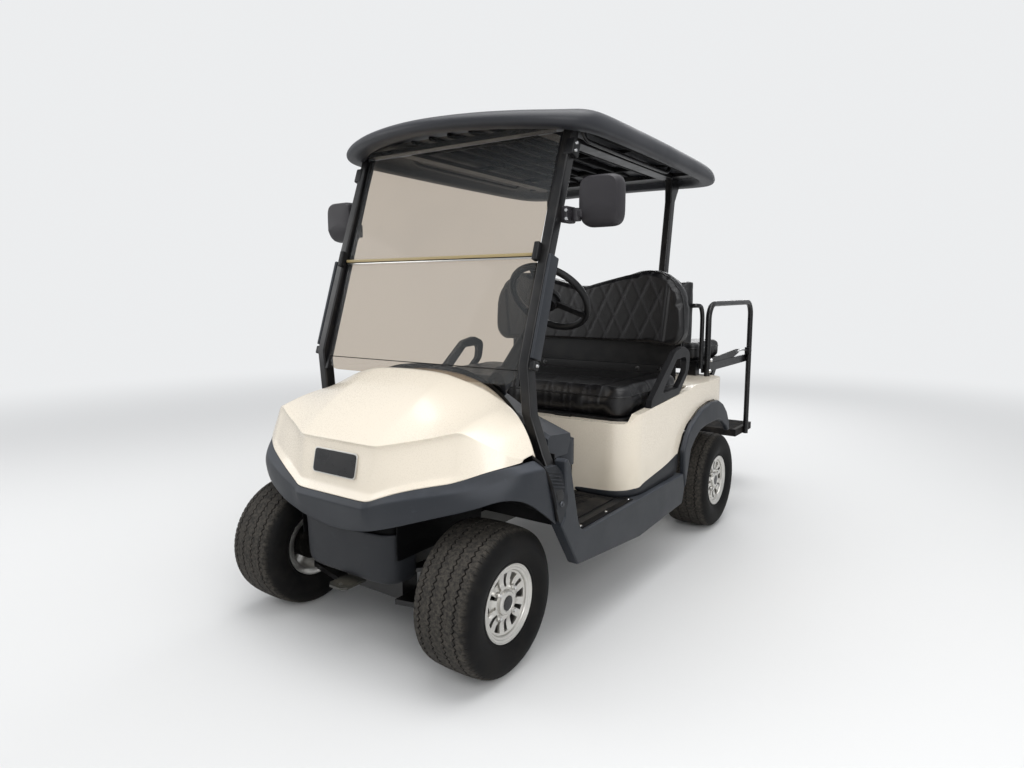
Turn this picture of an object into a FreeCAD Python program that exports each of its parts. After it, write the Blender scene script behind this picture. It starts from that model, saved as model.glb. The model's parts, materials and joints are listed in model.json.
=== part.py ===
import FreeCAD, Part
import math
import os

# Golf cart with a rear-facing seat kit. Millimetres, +Z up, front towards -Y, +X is the cart's left.
# Every Y below is measured from the front axle, and each piece moves to the part's own frame when it
# is written: the origin lies on the floor below the middle of the cart's length.

V = FreeCAD.Vector

# Driving dimensions
WHEELBASE = 1665.0
NOSE_OVERHANG = 226.0
TAIL_OVERHANG = 865.0
FRONT_HALF_TRACK = 438.0
REAR_HALF_TRACK = 489.0
BODY_HALF_WIDTH = 600.0
FIT_GAP = 0.3
RUN_GAP = 0.05
BALL_INSET = 12.0

# Wheels and tyres
TYRE_R = 228.0
TYRE_WIDTH = 216.0
TREAD_WIDTH = 176.0
TYRE_STEPS = 48
RIM_SEAT_R = 101.0
RIM_FLANGE_R = 119.0
RIM_WIDTH = 186.0
RIM_WALL = 6.0
RIM_FACE_T = 16.0
SPOKE_PAIRS = 6
HUB_BOLT_PCD = 101.6
HUB_BOLTS = 4
HUB_BOLT_R = 6.5
HUB_BORE_R = 32.0
WHEEL_CAP_R = 37.0

# Steering
KINGPIN_X = 330.0
KINGPIN_R = 8.0
KNUCKLE_TUBE_R = 15.0
YOKE_R = 22.0
YOKE_T = 18.0
KNUCKLE_LOW_Z = 160.0
KNUCKLE_HIGH_Z = 292.0
STEER_ARM_LENGTH = 110.0
STEER_ARM_Z = 190.0
BALL_R = 11.0
RACK_HALF_LENGTH = 165.0
RACK_R = 10.0
RACK_HOUSING_HALF = 100.0
RACK_HOUSING_R = 26.0
BOOT_R = 32.0
BOOT_WALL = 4.0
BOOT_LENGTH = 46.0
TIE_ROD_R = 6.0
WHEEL_HUB_X = 285.0
WHEEL_HUB_Y = 600.0
WHEEL_HUB_Z = 1120.0
WHEEL_RIM_R = 150.0
WHEEL_GRIP_R = 13.0
COLUMN_ANGLE = 42.0
COLUMN_LENGTH = 450.0
COLUMN_R = 24.0
SHAFT_R = 11.0

# Frame
DRIVE_X = 20.0
AXLE_R = 34.0
SPRING_HALF = 325.0
RAIL_X = 150.0
RAIL_WIDTH = 50.0
RAIL_LOW_Z = 275.0
RAIL_HEIGHT = 80.0
RAIL_FRONT_Y = -120.0
TOW_FRONT_Y = -210.0
TOW_Z = 214.0
TOW_HALF = 40.0
TOW_T = 8.0
TOW_EYE_R = 9.0
TOW_EYE_INSET = 22.0
RAIL_REAR_Y = WHEELBASE + 375.0
FLOOR_T = 14.0
MAT_T = 6.0
FLOOR_FRONT_Y = 345.0
SKIRT_Y = 700.0
DASH_LOW_Z = 612.0
TRAY_HALF = 190.0
TRAY_LOW_Z = 690.0
TRAY_TOP_Z = 742.0
CUP_X = 440.0
CUP_Y = 428.0
CUP_R = 39.0
CUP_WALL = 9.0
CUP_TOP_Z = 640.0
CUP_DEPTH = 78.0
PANEL_T = 6.0
SHELL_T = 10.0
VALANCE_HALF = 214.0
VALANCE_LOW_Z = 250.0
VALANCE_TOP_Z = 406.0
RAIL_TOP_Z = RAIL_LOW_Z + RAIL_HEIGHT
FLOOR_TOP_Z = RAIL_TOP_Z + FLOOR_T

# Body
SKIRT_TOP_Z = 652.0
DECK_Z = 730.0
DECK_FRONT_Y = 1325.0
POD_HALF_WIDTH = 576.0
POD_CORNER_R = 105.0
SUPPORT_LOW_Z = 790.0
SEAT_CORNER_R = 60.0
PEDAL_T = 12.0
LEDGE = 70.0
NOTCH_HALF = 330.0
NOTCH_TOP_Z = 500.0
SILL_TOP_Z = 372.0
SILL_T = 42.0
BODY_REAR_Y = WHEELBASE + 95.0

# Roof: a moulding that falls a little to the rear
ROOF_FRONT_Y = 335.0
ROOF_REAR_Y = 1745.0
ROOF_FRONT_HALF = 572.0
ROOF_REAR_HALF = 548.0
ROOF_LOW_Z = 1662.0
ROOF_EDGE_H = 46.0
ROOF_CROWN_H = 44.0
ROOF_WALL = 36.0
ROOF_T = 12.0
ROOF_FRONT_R = 130.0
ROOF_REAR_R = 175.0
ROOF_INNER_R = 58.0
ROOF_FALL = 1.1
BAR_T = 18.0
FRONT_BAR_TOP = 1687.0
REAR_BAR_TOP = 1708.0

# Struts and windshield
FRONT_STRUT_X = 471.0
FRONT_STRUT_W = 36.0
FRONT_STRUT_D = 44.0
FRONT_STRUT_TOP_Z = 1666.0
REAR_STRUT_X = 330.0
REAR_STRUT_W = 34.0
REAR_STRUT_D = 46.0
REAR_STRUT_FOOT_Y = 1490.0
REAR_STRUT_LEAN = 50.0 / 520.0
REAR_STRUT_TOP_Z = 1664.0
MIRROR_X = FRONT_STRUT_X + 57.0
MIRROR_WIDTH = 145.0
GLASS_T = 5.0
GLASS_HALF_WIDTH = 440.0

# Seats
SEAT_HALF_WIDTH = 535.0
SEAT_FRONT_Y = 740.0
SEAT_REAR_Y = 1312.0
SEAT_LOW_Z = SKIRT_TOP_Z + FIT_GAP
SEAT_T = 125.0
SEAT_BASE_T = 10.0
SEAT_HINGE_Y = SEAT_FRONT_Y + 2
SEAT_HINGE_Z = SEAT_LOW_Z + SEAT_BASE_T / 2
SEAT_HINGE_X = 260.0
SEAT_BARREL = 60.0
SEAT_PIN_R = 2.5
BACK_HALF_WIDTH = 532.0
BACK_LOW_Z = 888.0
BACK_TOP_Z = 1243.0
BACK_DIP = 65.0
BACK_T = 100.0
BACK_FRONT_Y = 1335.0
PLATE_T = 10.0
REAR_SEAT_FRONT_Y = WHEELBASE + 17.0
REAR_SEAT_DEPTH = 368.0
REAR_SEAT_BACK_Y = REAR_SEAT_FRONT_Y + REAR_SEAT_DEPTH
REAR_DECK_LOW_Z = 792.0
DECK_BOARD_T = 9.0
REAR_SEAT_T = 84.0
REAR_SEAT_HALF_WIDTH = 465.0
REAR_HINGE_Y = REAR_SEAT_BACK_Y + 20.0
REAR_HINGE_Z = 797.0
REAR_HINGE_X = 300.0
REAR_HINGE_R = 9.0
REAR_PIN_R = 5.0
REAR_LUG = 40.0
REAR_EAR = 7.0
REAR_BACK_Y = REAR_SEAT_FRONT_Y - 107.0
REAR_BACK_T = 90.0
REAR_BACK_LOW_Z = 886.0
REAR_BACK_TOP_Z = 1190.0

# Rear kit
LOOP_X = 500.0
LOOP_R = 14.0
LOOP_FRONT_Y = WHEELBASE + 35.0
LOOP_REAR_Y = WHEELBASE + 710.0
LOOP_TOP_Z = 1080.0
LOOP_BEND = 75.0
FOOT_Z = 370.0
FOOT_T = 40.0
FOOT_LENGTH = 290.0
FOOT_HALF_WIDTH = LOOP_X - LOOP_R - FIT_GAP
FOOT_REAR_Y = WHEELBASE + TAIL_OVERHANG
FOOT_FRONT_Y = FOOT_REAR_Y - FOOT_LENGTH
ARM_LOW_Z = 745.0
ARM_T = 11.0

LENGTH = NOSE_OVERHANG + WHEELBASE + TAIL_OVERHANG
FRONT_AXLE_Y = NOSE_OVERHANG - LENGTH / 2


def save(name, shape):
    """Write one piece, moved from the front axle's frame to the part's own frame."""
    placed = shape.copy()
    placed.translate(V(0, FRONT_AXLE_Y, 0))
    placed.exportStep("parts/" + name + ".step")


def box(x0, x1, y0, y1, z0, z1):
    return Part.makeBox(x1 - x0, y1 - y0, z1 - z0, V(x0, y0, z0))


def rod(radius, start, end):
    start, end = V(*start), V(*end)
    return Part.makeCylinder(radius, (end - start).Length, start, end - start)


def mirrored(shape):
    return shape.mirror(V(0, 0, 0), V(1, 0, 0))


def both(shape):
    """A piece and its mirror image as one shape of two solids, or one where they meet."""
    return shape.fuse(mirrored(shape)).removeSplitter()


def polygon(points):
    return Part.makePolygon(points + [points[0]])


def side_plate(profile, x0, x1):
    """A flat plate cut to a (y, z) outline and as thick as x0 to x1."""
    face = Part.Face(polygon([V(x0, y, z) for y, z in profile]))
    return face.extrude(V(x1 - x0, 0, 0))


def plan_plate(profile, z0, z1):
    face = Part.Face(polygon([V(x, y, z0) for x, y in profile]))
    return face.extrude(V(0, 0, z1 - z0))


def rounded_outline(points, radii):
    """Closed wire through corner points, each corner rounded by its own radius (0 leaves it sharp)."""
    count = len(points)
    ends = []
    for index, corner in enumerate(points):
        before, after, radius = points[index - 1], points[(index + 1) % count], radii[index]
        if radius <= 0:
            ends.append((corner, None, corner))
            continue
        into = (before - corner).normalize()
        out = (after - corner).normalize()
        half = into.getAngle(out) / 2
        cut = radius / math.tan(half)
        mid = corner + (into + out).normalize() * (radius / math.sin(half) - radius)
        ends.append((corner + into * cut, mid, corner + out * cut))
    edges = []
    for index, (start, mid, end) in enumerate(ends):
        if mid is not None:
            edges.append(Part.Arc(start, mid, end).toShape())
        edges.append(Part.LineSegment(end, ends[(index + 1) % count][0]).toShape())
    return Part.Wire(edges)


def side_panel(profile, x0, x1):
    """A flat plate cut to a side outline with round corners. Columns of the profile: y, z, radius."""
    wire = rounded_outline([V(x0, y, z) for y, z, r in profile], [r for y, z, r in profile])
    return Part.Face(wire).extrude(V(x1 - x0, 0, 0))


def rounded_rect(x0, x1, y0, y1, z, radius):
    """A horizontal rectangle with round corners, as a wire."""
    k = radius * (1 - math.sqrt(0.5))
    a = [V(x0 + radius, y0, z), V(x1 - radius, y0, z)]
    b = [V(x1, y0 + radius, z), V(x1, y1 - radius, z)]
    c = [V(x1 - radius, y1, z), V(x0 + radius, y1, z)]
    d = [V(x0, y1 - radius, z), V(x0, y0 + radius, z)]
    mids = [V(x1 - k, y0 + k, z), V(x1 - k, y1 - k, z), V(x0 + k, y1 - k, z), V(x0 + k, y0 + k, z)]
    edges = []
    for line, mid, after in zip((a, b, c, d), mids, (b, c, d, a)):
        edges.append(Part.LineSegment(line[0], line[1]).toShape())
        edges.append(Part.Arc(line[1], mid, after[0]).toShape())
    return Part.Wire(edges)


def slab(x0, x1, y0, y1, z0, z1, radius):
    """A box with round vertical corners."""
    return Part.Face(rounded_rect(x0, x1, y0, y1, z0, radius)).extrude(V(0, 0, z1 - z0))


def loft(wires):
    return Part.makeLoft(wires, True, True)


def column(rows, radius=6.0):
    """A bent post lofted through level sections. Rows: x, y, z, width in x, depth in y."""
    wires = [rounded_rect(x - w / 2, x + w / 2, y - d / 2, y + d / 2, z, radius) for x, y, z, w, d in rows]
    return loft(wires)


def bent_tube(points, radius, bend):
    """A round bar along straight runs joined by tangent arcs."""
    pts = [V(*p) for p in points]
    edges = []
    here = pts[0]
    for before, corner, after in zip(pts, pts[1:], pts[2:]):
        into = (before - corner).normalize()
        out = (after - corner).normalize()
        half = into.getAngle(out) / 2
        cut = bend / math.tan(half)
        mid = corner + (into + out).normalize() * (bend / math.sin(half) - bend)
        edges.append(Part.LineSegment(here, corner + into * cut).toShape())
        edges.append(Part.Arc(corner + into * cut, mid, corner + out * cut).toShape())
        here = corner + out * cut
    edges.append(Part.LineSegment(here, pts[-1]).toShape())
    path = Part.Wire(edges)
    circle = Part.Wire(Part.Circle(pts[0], pts[1] - pts[0], radius).toShape())
    return path.makePipeShell([circle], True, False)


def revolve_x(profile, centre_x, y, z):
    """Turn an (offset along x, radius) outline round the line through (y, z)."""
    face = Part.Face(polygon([V(centre_x + a, y, z + r) for a, r in profile]))
    return face.revolve(V(centre_x, y, z), V(1, 0, 0), 360)


def stepped_turn(profile, centre_x, y, z, steps):
    """Turn an (offset along x, radius) outline in flat steps, with one flat on the ground."""
    grow = 1 / math.cos(math.pi / steps)
    rings = []
    for index in range(steps):
        angle = 2 * math.pi * (index + 0.5) / steps
        rings.append([V(centre_x + a, y + r * grow * math.sin(angle), z + r * grow * math.cos(angle))
                      for a, r in profile])
    faces = []
    for ring, after in zip(rings, rings[1:] + rings[:1]):
        for index, corner in enumerate(ring):
            faces.append(Part.Face(polygon([ring[index - 1], corner, after[index], after[index - 1]])))
    solid = Part.Solid(Part.Shell(faces))
    return solid if solid.Volume > 0 else solid.reversed()


def tyre(side, half_track, y):
    """A tyre of rounded outline with an open bore, for side 1 (left) or -1 (right)."""
    h = TYRE_WIDTH / 2
    tread = TREAD_WIDTH / 2
    bead = RIM_WIDTH / 2 - RIM_WALL - FIT_GAP
    profile = [(-bead, RIM_SEAT_R + FIT_GAP), (-bead, RIM_FLANGE_R + FIT_GAP), (-h + 8, 150), (-h, 172),
               (-h + 5, 200), (-tread, 220), (-tread * 0.45, TYRE_R - 1), (0, TYRE_R),
               (tread * 0.45, TYRE_R - 1), (tread, 220), (h - 5, 200), (h, 172), (h - 8, 150),
               (bead, RIM_FLANGE_R + FIT_GAP), (bead, RIM_SEAT_R + FIT_GAP)]
    return stepped_turn(profile, side * half_track, y, TYRE_R, TYRE_STEPS)


def rim(side, half_track, y):
    """A one-piece alloy wheel: barrel, flanges and a face with paired spokes."""
    b = RIM_WIDTH / 2
    w = RIM_WALL
    seat = RIM_SEAT_R
    flange = RIM_FLANGE_R
    barrel = [(-b, flange), (-b, flange - w), (-b + w, seat - w), (b - w, seat - w), (b, flange - w),
              (b, flange), (b - w, flange), (b - w, seat), (-b + w, seat), (-b + w, flange)]
    shape = revolve_x(barrel, 0, 0, 0)
    face_x = b - 34
    disc = [(face_x, HUB_BORE_R), (face_x + RIM_FACE_T, HUB_BORE_R), (face_x + RIM_FACE_T, 58),
            (face_x + RIM_FACE_T + 6, seat - w - 4), (face_x + RIM_FACE_T + 6, seat - w + 1),
            (face_x, seat - w + 1)]
    shape = shape.fuse(revolve_x(disc, 0, 0, 0))
    step = 360.0 / SPOKE_PAIRS
    # Columns: middle angle as a share of the step, half width at the hub and at the barrel
    for share, near, far in ((0.0, 5.0, 7.0), (0.5, 9.0, 21.0)):
        window = Part.Face(polygon([V(face_x - 5, -near, 60), V(face_x - 5, near, 60),
                                    V(face_x - 5, far, seat - w - 3), V(face_x - 5, -far, seat - w - 3)]))
        window = window.extrude(V(RIM_FACE_T + 16, 0, 0))
        for index in range(SPOKE_PAIRS):
            turned = window.copy()
            turned.rotate(V(0, 0, 0), V(1, 0, 0), (index + share) * step)
            shape = shape.cut(turned)
    for index in range(HUB_BOLTS):
        angle = math.radians(45 + 360.0 / HUB_BOLTS * index)
        at = HUB_BOLT_PCD / 2
        hole = rod(HUB_BOLT_R, (face_x - 5, at * math.cos(angle), at * math.sin(angle)),
                   (face_x + RIM_FACE_T + 9, at * math.cos(angle), at * math.sin(angle)))
        shape = shape.cut(hole)
    if side < 0:
        shape = mirrored(shape)
    shape.translate(V(side * half_track, y, TYRE_R))
    return shape


FACE_X = RIM_WIDTH / 2 - 34


def wheel_cap(side, half_track, y):
    """The dark centre cap that closes the wheel's bore."""
    outline = [(FACE_X + RIM_FACE_T, 0), (FACE_X + RIM_FACE_T, WHEEL_CAP_R),
               (FACE_X + RIM_FACE_T + 10, WHEEL_CAP_R - 3), (FACE_X + RIM_FACE_T + 13, WHEEL_CAP_R - 14),
               (FACE_X + RIM_FACE_T + 13, 0)]
    shape = revolve_x(outline, 0, 0, 0)
    if side < 0:
        shape = mirrored(shape)
    shape.translate(V(side * half_track, y, TYRE_R))
    return shape


def knuckle(side):
    """Kingpin tube, spindle, hub flange and steering arm of one front wheel."""
    tube = rod(KNUCKLE_TUBE_R, (KINGPIN_X, 0, KNUCKLE_LOW_Z), (KINGPIN_X, 0, KNUCKLE_HIGH_Z))
    spindle = rod(HUB_BORE_R - RUN_GAP, (KINGPIN_X + 20, 0, TYRE_R),
                  (FRONT_HALF_TRACK + FACE_X + 10, 0, TYRE_R))
    neck = rod(14, (KINGPIN_X, 0, TYRE_R), (KINGPIN_X + 40, 0, TYRE_R))
    drum = rod(62, (KINGPIN_X + 32, 0, TYRE_R), (FRONT_HALF_TRACK + FACE_X - FIT_GAP, 0, TYRE_R))
    ball_y = STEER_ARM_LENGTH
    arm = Part.Face(polygon([V(KINGPIN_X - 14, 0, STEER_ARM_Z - 8), V(KINGPIN_X + 12, 0, STEER_ARM_Z - 8),
                             V(BALL_X + 11, ball_y + 12, STEER_ARM_Z - 8),
                             V(BALL_X - 11, ball_y + 12, STEER_ARM_Z - 8)])).extrude(V(0, 0, 14))
    stud = rod(5, (BALL_X, ball_y, STEER_ARM_Z - 8), (BALL_X, ball_y, STEER_ARM_Z + 32))
    bore = rod(KINGPIN_R + RUN_GAP, (KINGPIN_X, 0, KNUCKLE_LOW_Z - 1), (KINGPIN_X, 0, KNUCKLE_HIGH_Z + 1))
    shape = tube.fuse([neck, spindle, drum, arm, stud]).cut(bore)
    return shape if side > 0 else mirrored(shape)


BALL_X = KINGPIN_X - BALL_INSET


def tie_rod(side):
    """Rod from the knuckle's ball to the open end of the rack's boot."""
    z = STEER_ARM_Z + 18
    end = rod(BALL_R, (BALL_X, STEER_ARM_LENGTH, z - 10), (BALL_X, STEER_ARM_LENGTH, z + 10))
    bar = rod(TIE_ROD_R, (RACK_HALF_LENGTH + 18, STEER_ARM_LENGTH, z), (BALL_X - 6, STEER_ARM_LENGTH, z))
    hole = rod(5 + RUN_GAP, (BALL_X, STEER_ARM_LENGTH, z - 11), (BALL_X, STEER_ARM_LENGTH, z + 11))
    shape = end.fuse(bar).cut(hole)
    return shape if side > 0 else mirrored(shape)


RACK_Y = STEER_ARM_LENGTH
RACK_Z = STEER_ARM_Z + 18


def rack_housing():
    """Fixed tube round the rack, with its pinion tower and two feet up to the rails."""
    tube = rod(RACK_HOUSING_R, (-RACK_HOUSING_HALF, RACK_Y, RACK_Z), (RACK_HOUSING_HALF, RACK_Y, RACK_Z))
    feet = both(box(55, RACK_HOUSING_HALF - 8, RACK_Y - 18, RACK_Y + 18, RACK_Z, RAIL_LOW_Z + 6))
    bridge = box(-(RAIL_X - RAIL_WIDTH / 2), RAIL_X - RAIL_WIDTH / 2, RACK_Y - 18, RACK_Y + 18,
                 RAIL_LOW_Z + 6, RAIL_LOW_Z + 22)
    bore = rod(RACK_R + RUN_GAP, (-RACK_HOUSING_HALF - 1, RACK_Y, RACK_Z),
               (RACK_HOUSING_HALF + 1, RACK_Y, RACK_Z))
    return tube.fuse([feet, bridge]).cut(bore)


def rack():
    """The sliding bar and the open rubber boots at its ends."""
    bar = rod(RACK_R, (-RACK_HALF_LENGTH, RACK_Y, RACK_Z), (RACK_HALF_LENGTH, RACK_Y, RACK_Z))
    end = RACK_HALF_LENGTH + BOOT_LENGTH
    outer = rod(BOOT_R, (RACK_HALF_LENGTH - 4, RACK_Y, RACK_Z), (end, RACK_Y, RACK_Z))
    inner = rod(BOOT_R - BOOT_WALL, (RACK_HALF_LENGTH + 2, RACK_Y, RACK_Z), (end + 1, RACK_Y, RACK_Z))
    return bar.fuse(both(outer.cut(inner)))


def front_suspension():
    """Cross beam, transverse leaf spring, lower arms and the kingpins' yokes."""
    inner = RAIL_X - RAIL_WIDTH / 2
    beam = box(-inner, inner, -35, 35, KNUCKLE_LOW_Z - YOKE_T, RAIL_LOW_Z + 30)
    arm = plan_plate([(inner, -70), (KINGPIN_X, -YOKE_R), (KINGPIN_X, YOKE_R), (inner, 55)],
                     KNUCKLE_LOW_Z - YOKE_T, KNUCKLE_LOW_Z - FIT_GAP)
    leaf_low = RAIL_LOW_Z - 24
    top = KNUCKLE_HIGH_Z + FIT_GAP
    side = Part.Face(polygon([V(0, -28, leaf_low), V(inner + RAIL_WIDTH + 10, -28, leaf_low),
                              V(KINGPIN_X - 14, -28, top), V(KINGPIN_X, -28, top),
                              V(KINGPIN_X, -28, top + 12), V(KINGPIN_X - 18, -28, top + 12),
                              V(inner + RAIL_WIDTH + 6, -28, leaf_low + 12), V(0, -28, leaf_low + 12)]))
    leaf = side.extrude(V(0, 56, 0))
    yokes = rod(YOKE_R, (KINGPIN_X, 0, KNUCKLE_LOW_Z - YOKE_T), (KINGPIN_X, 0, KNUCKLE_LOW_Z - FIT_GAP))
    upper = rod(YOKE_R, (KINGPIN_X, 0, top), (KINGPIN_X, 0, top + YOKE_T))
    pin = rod(KINGPIN_R, (KINGPIN_X, 0, KNUCKLE_LOW_Z - YOKE_T), (KINGPIN_X, 0, top + YOKE_T))
    half = arm.fuse([leaf, yokes, upper, pin])
    return beam.fuse([half, mirrored(half)]).removeSplitter()


def frame_rails():
    """Two box rails joined by cross members."""
    rail = box(RAIL_X - RAIL_WIDTH / 2, RAIL_X + RAIL_WIDTH / 2, RAIL_FRONT_Y, RAIL_REAR_Y,
               RAIL_LOW_Z, RAIL_TOP_Z)
    shape = rail.fuse(mirrored(rail))
    for y in (RAIL_FRONT_Y, 420.0, 900.0, 1300.0, RAIL_REAR_Y - RAIL_WIDTH):
        shape = shape.fuse(box(-RAIL_X, RAIL_X, y, y + RAIL_WIDTH, RAIL_LOW_Z + 12, RAIL_TOP_Z - 12))
    back = RAIL_FRONT_Y + TOW_T
    tow_plate = box(-TOW_HALF, TOW_HALF, TOW_FRONT_Y, back, TOW_Z, TOW_Z + TOW_T)
    tow_plate = tow_plate.fuse(box(-TOW_HALF, TOW_HALF, back - TOW_T, back, TOW_Z, RAIL_TOP_Z - 30))
    corner = plan_plate([(TOW_HALF, TOW_FRONT_Y), (TOW_HALF, TOW_FRONT_Y + 16), (TOW_HALF - 16, TOW_FRONT_Y)],
                        TOW_Z, TOW_Z + TOW_T)
    eye_y = TOW_FRONT_Y + TOW_EYE_INSET
    eye = rod(TOW_EYE_R, (0, eye_y, TOW_Z - 1), (0, eye_y, TOW_Z + TOW_T + 1))
    return shape.fuse(tow_plate).cut(eye).cut(corner).cut(mirrored(corner)).removeSplitter()


def rear_axle():
    """Axle tubes, final drive and the electric motor behind it."""
    drum_in = REAR_HALF_TRACK - RIM_WIDTH / 2 - 20
    hub_x = REAR_HALF_TRACK + FACE_X + 10
    shape = rod(AXLE_R, (-drum_in, WHEELBASE, TYRE_R), (drum_in, WHEELBASE, TYRE_R))
    drum = rod(84, (drum_in, WHEELBASE, TYRE_R), (REAR_HALF_TRACK - 30, WHEELBASE, TYRE_R))
    hub = rod(HUB_BORE_R - RUN_GAP, (drum_in, WHEELBASE, TYRE_R), (hub_x, WHEELBASE, TYRE_R))
    flange = rod(62, (REAR_HALF_TRACK - 40, WHEELBASE, TYRE_R),
                 (REAR_HALF_TRACK + FACE_X - FIT_GAP, WHEELBASE, TYRE_R))
    hub = hub.fuse(flange)
    case = Part.makeSphere(92, V(DRIVE_X, WHEELBASE, TYRE_R))
    case = case.cut(box(-300, 300, WHEELBASE - 150, WHEELBASE + 150, 0, TYRE_R - 78))
    motor = rod(82, (DRIVE_X, WHEELBASE + 60, TYRE_R), (DRIVE_X, WHEELBASE + 295, TYRE_R))
    return shape.fuse([drum, mirrored(drum), hub, mirrored(hub), case, motor])


def rear_springs():
    """Leaf springs under the axle, hung from brackets beside the rails."""
    x0, x1 = RAIL_X + RAIL_WIDTH / 2 + 30, RAIL_X + RAIL_WIDTH / 2 + 80
    eye_low, eye_high, seat = RAIL_LOW_Z - 13, RAIL_LOW_Z - 1, TYRE_R - AXLE_R - FIT_GAP
    front, rear = WHEELBASE - SPRING_HALF, WHEELBASE + SPRING_HALF
    spring = side_plate([(front, eye_low), (WHEELBASE - 40, seat - 12), (WHEELBASE + 40, seat - 12),
                         (rear, eye_low), (rear, eye_high), (WHEELBASE + 40, seat), (WHEELBASE - 40, seat),
                         (front, eye_high)], x0, x1)
    hangers = box(RAIL_X + RAIL_WIDTH / 2, x1, front - 20, front + 20, eye_low, RAIL_TOP_Z - 35)
    hangers = hangers.fuse(box(RAIL_X + RAIL_WIDTH / 2, x1, rear - 15, rear + 25, eye_low, RAIL_TOP_Z - 35))
    return both(spring.fuse(hangers))


def battery_pack():
    """Row of batteries on a tray between the frame and the front seat."""
    tray = box(-330, 330, 800, 1120, RAIL_TOP_Z, RAIL_TOP_Z + 12)
    shape = tray
    for column_x in (-220, 0, 220):
        for row_y in (805, 965):
            shape = shape.fuse(slab(column_x - 98, column_x + 98, row_y, row_y + 148, RAIL_TOP_Z + 12,
                                    RAIL_TOP_Z + 240, 8))
    return shape


# Front cowl stations. Columns: x, lower seam y, z, brow y, z, rear edge y, z, rise of the crown
COWL = [
    (0.0, -213.0, 525.0, -182.0, 690.0, 262.0, 872.0, 16.0),
    (150.0, -213.0, 525.0, -180.0, 690.0, 256.0, 862.0, 16.0),
    (168.0, -205.0, 530.0, -178.0, 690.0, 254.0, 858.0, 16.0),
    (250.0, -187.0, 563.0, -141.0, 705.0, 248.0, 838.0, 15.0),
    (350.0, -148.0, 590.0, -102.0, 722.0, 234.0, 782.0, 14.0),
    (408.0, -120.0, 601.0, -78.0, 738.0, 208.0, 746.0, 12.0),
    (455.0, -92.0, 618.0, -53.0, 716.0, 176.0, 718.0, 10.0),
    (500.0, -54.0, 637.0, -27.0, 690.0, 140.0, 696.0, 8.0),
    (535.0, -15.0, 647.0, -3.0, 669.0, 112.0, 676.0, 4.0),
    (552.0, 35.0, 652.0, 42.0, 660.0, 98.0, 665.0, 1.0),
]


def cowl_wire(x, sy, sz, by, bz, ry, rz, rise):
    """Closed side-view outline of the cowl's wall at one station."""
    t = SHELL_T
    outer = [V(x, sy, sz), V(x, by, bz), V(x, ry, rz)]
    inner = [V(x, ry, rz - t), V(x, by + t, bz - t), V(x, sy + t, sz)]
    mid_out = (outer[1] + outer[2]) * 0.5 + V(0, 0, rise)
    mid_in = (inner[0] + inner[1]) * 0.5 + V(0, 0, rise)
    edges = [Part.LineSegment(outer[0], outer[1]).toShape(), Part.Arc(outer[1], mid_out, outer[2]).toShape(),
             Part.LineSegment(outer[2], inner[0]).toShape(), Part.Arc(inner[0], mid_in, inner[1]).toShape(),
             Part.LineSegment(inner[1], inner[2]).toShape(), Part.LineSegment(inner[2], outer[0]).toShape()]
    return Part.Wire(edges)


def mirror_rows(rows):
    return [(-row[0],) + tuple(row[1:]) for row in reversed(rows) if row[0] > 0] + list(rows)


def front_cowl():
    """The pale hood with its creased nose."""
    return loft([cowl_wire(*row) for row in mirror_rows(COWL)])


# Bumper and fender stations. Columns: seam x, y, z, lip x, y, z, lower edge x, y, z, turn of the wall
FENDER = [
    (0.0, -213.0, 523.0, 0.0, -226.0, 505.0, 0.0, -200.0, 411.0, 0.0),
    (150.0, -213.0, 523.0, 158.0, -225.0, 505.0, 153.0, -200.0, 430.0, 0.0),
    (168.0, -205.0, 528.0, 174.0, -213.0, 512.0, 170.0, -201.0, 437.0, 5.0),
    (250.0, -187.0, 561.0, 255.0, -203.0, 541.0, 252.0, -202.0, 461.0, 20.0),
    (350.0, -148.0, 588.0, 360.0, -168.0, 565.0, 363.0, -173.0, 499.0, 30.0),
    (408.0, -120.0, 599.0, 425.0, -141.0, 578.0, 440.0, -129.0, 520.0, 38.0),
    (455.0, -92.0, 616.0, 478.0, -90.0, 589.0, 492.0, -99.0, 537.0, 45.0),
    (500.0, -54.0, 635.0, 530.0, -35.0, 610.0, 540.0, -58.0, 558.0, 60.0),
    (535.0, -15.0, 645.0, 566.0, 5.0, 625.0, 568.0, -10.0, 552.0, 75.0),
    (552.0, 35.0, 646.0, 582.0, 40.0, 628.0, 582.0, 45.0, 528.0, 90.0),
    (556.0, 95.0, 646.0, 588.0, 102.0, 623.0, 592.0, 158.0, 439.0, 90.0),
]


def fender_wire(ux, uy, uz, mx, my, mz, lx, ly, lz, turn):
    """Closed outline of the bumper's wall at one station, thickened inwards."""
    t = SHELL_T
    angle = math.radians(turn)
    inward = V(-math.sin(angle) * t, math.cos(angle) * t, 0)
    outer = [V(ux, uy, uz), V(mx, my, mz), V(lx, ly, lz)]
    down = (outer[2] - outer[0]).normalize() * t
    inner = [outer[2] + inward, outer[1] + inward + down * 0.5, outer[0] + inward + down]
    return outer + inner


def front_fender():
    """Grey bumper across the nose that runs on into both wheel arches."""
    wires = [fender_wire(*row) for row in FENDER]
    left = [polygon(points) for points in wires]
    right = [polygon([V(-p.x, p.y, p.z) for p in points]) for points in reversed(wires[1:])]
    return Part.makeLoft(right + left, True, True)


def front_valance():
    """Skirt below the bumper, between the front wheels."""
    w, t = VALANCE_HALF, PANEL_T
    outer = [(-w, -60), (-w, -150), (-w + 46, -174), (w - 46, -174), (w, -150), (w, -60)]
    inner = [(w - t, -60), (w - t, -150 + t * 0.6), (w - 46 - t * 0.3, -174 + t),
             (-w + 46 + t * 0.3, -174 + t), (-w + t, -150 + t * 0.6), (-w + t, -60)]
    return plan_plate(outer + inner, VALANCE_LOW_Z, VALANCE_TOP_Z)


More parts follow.
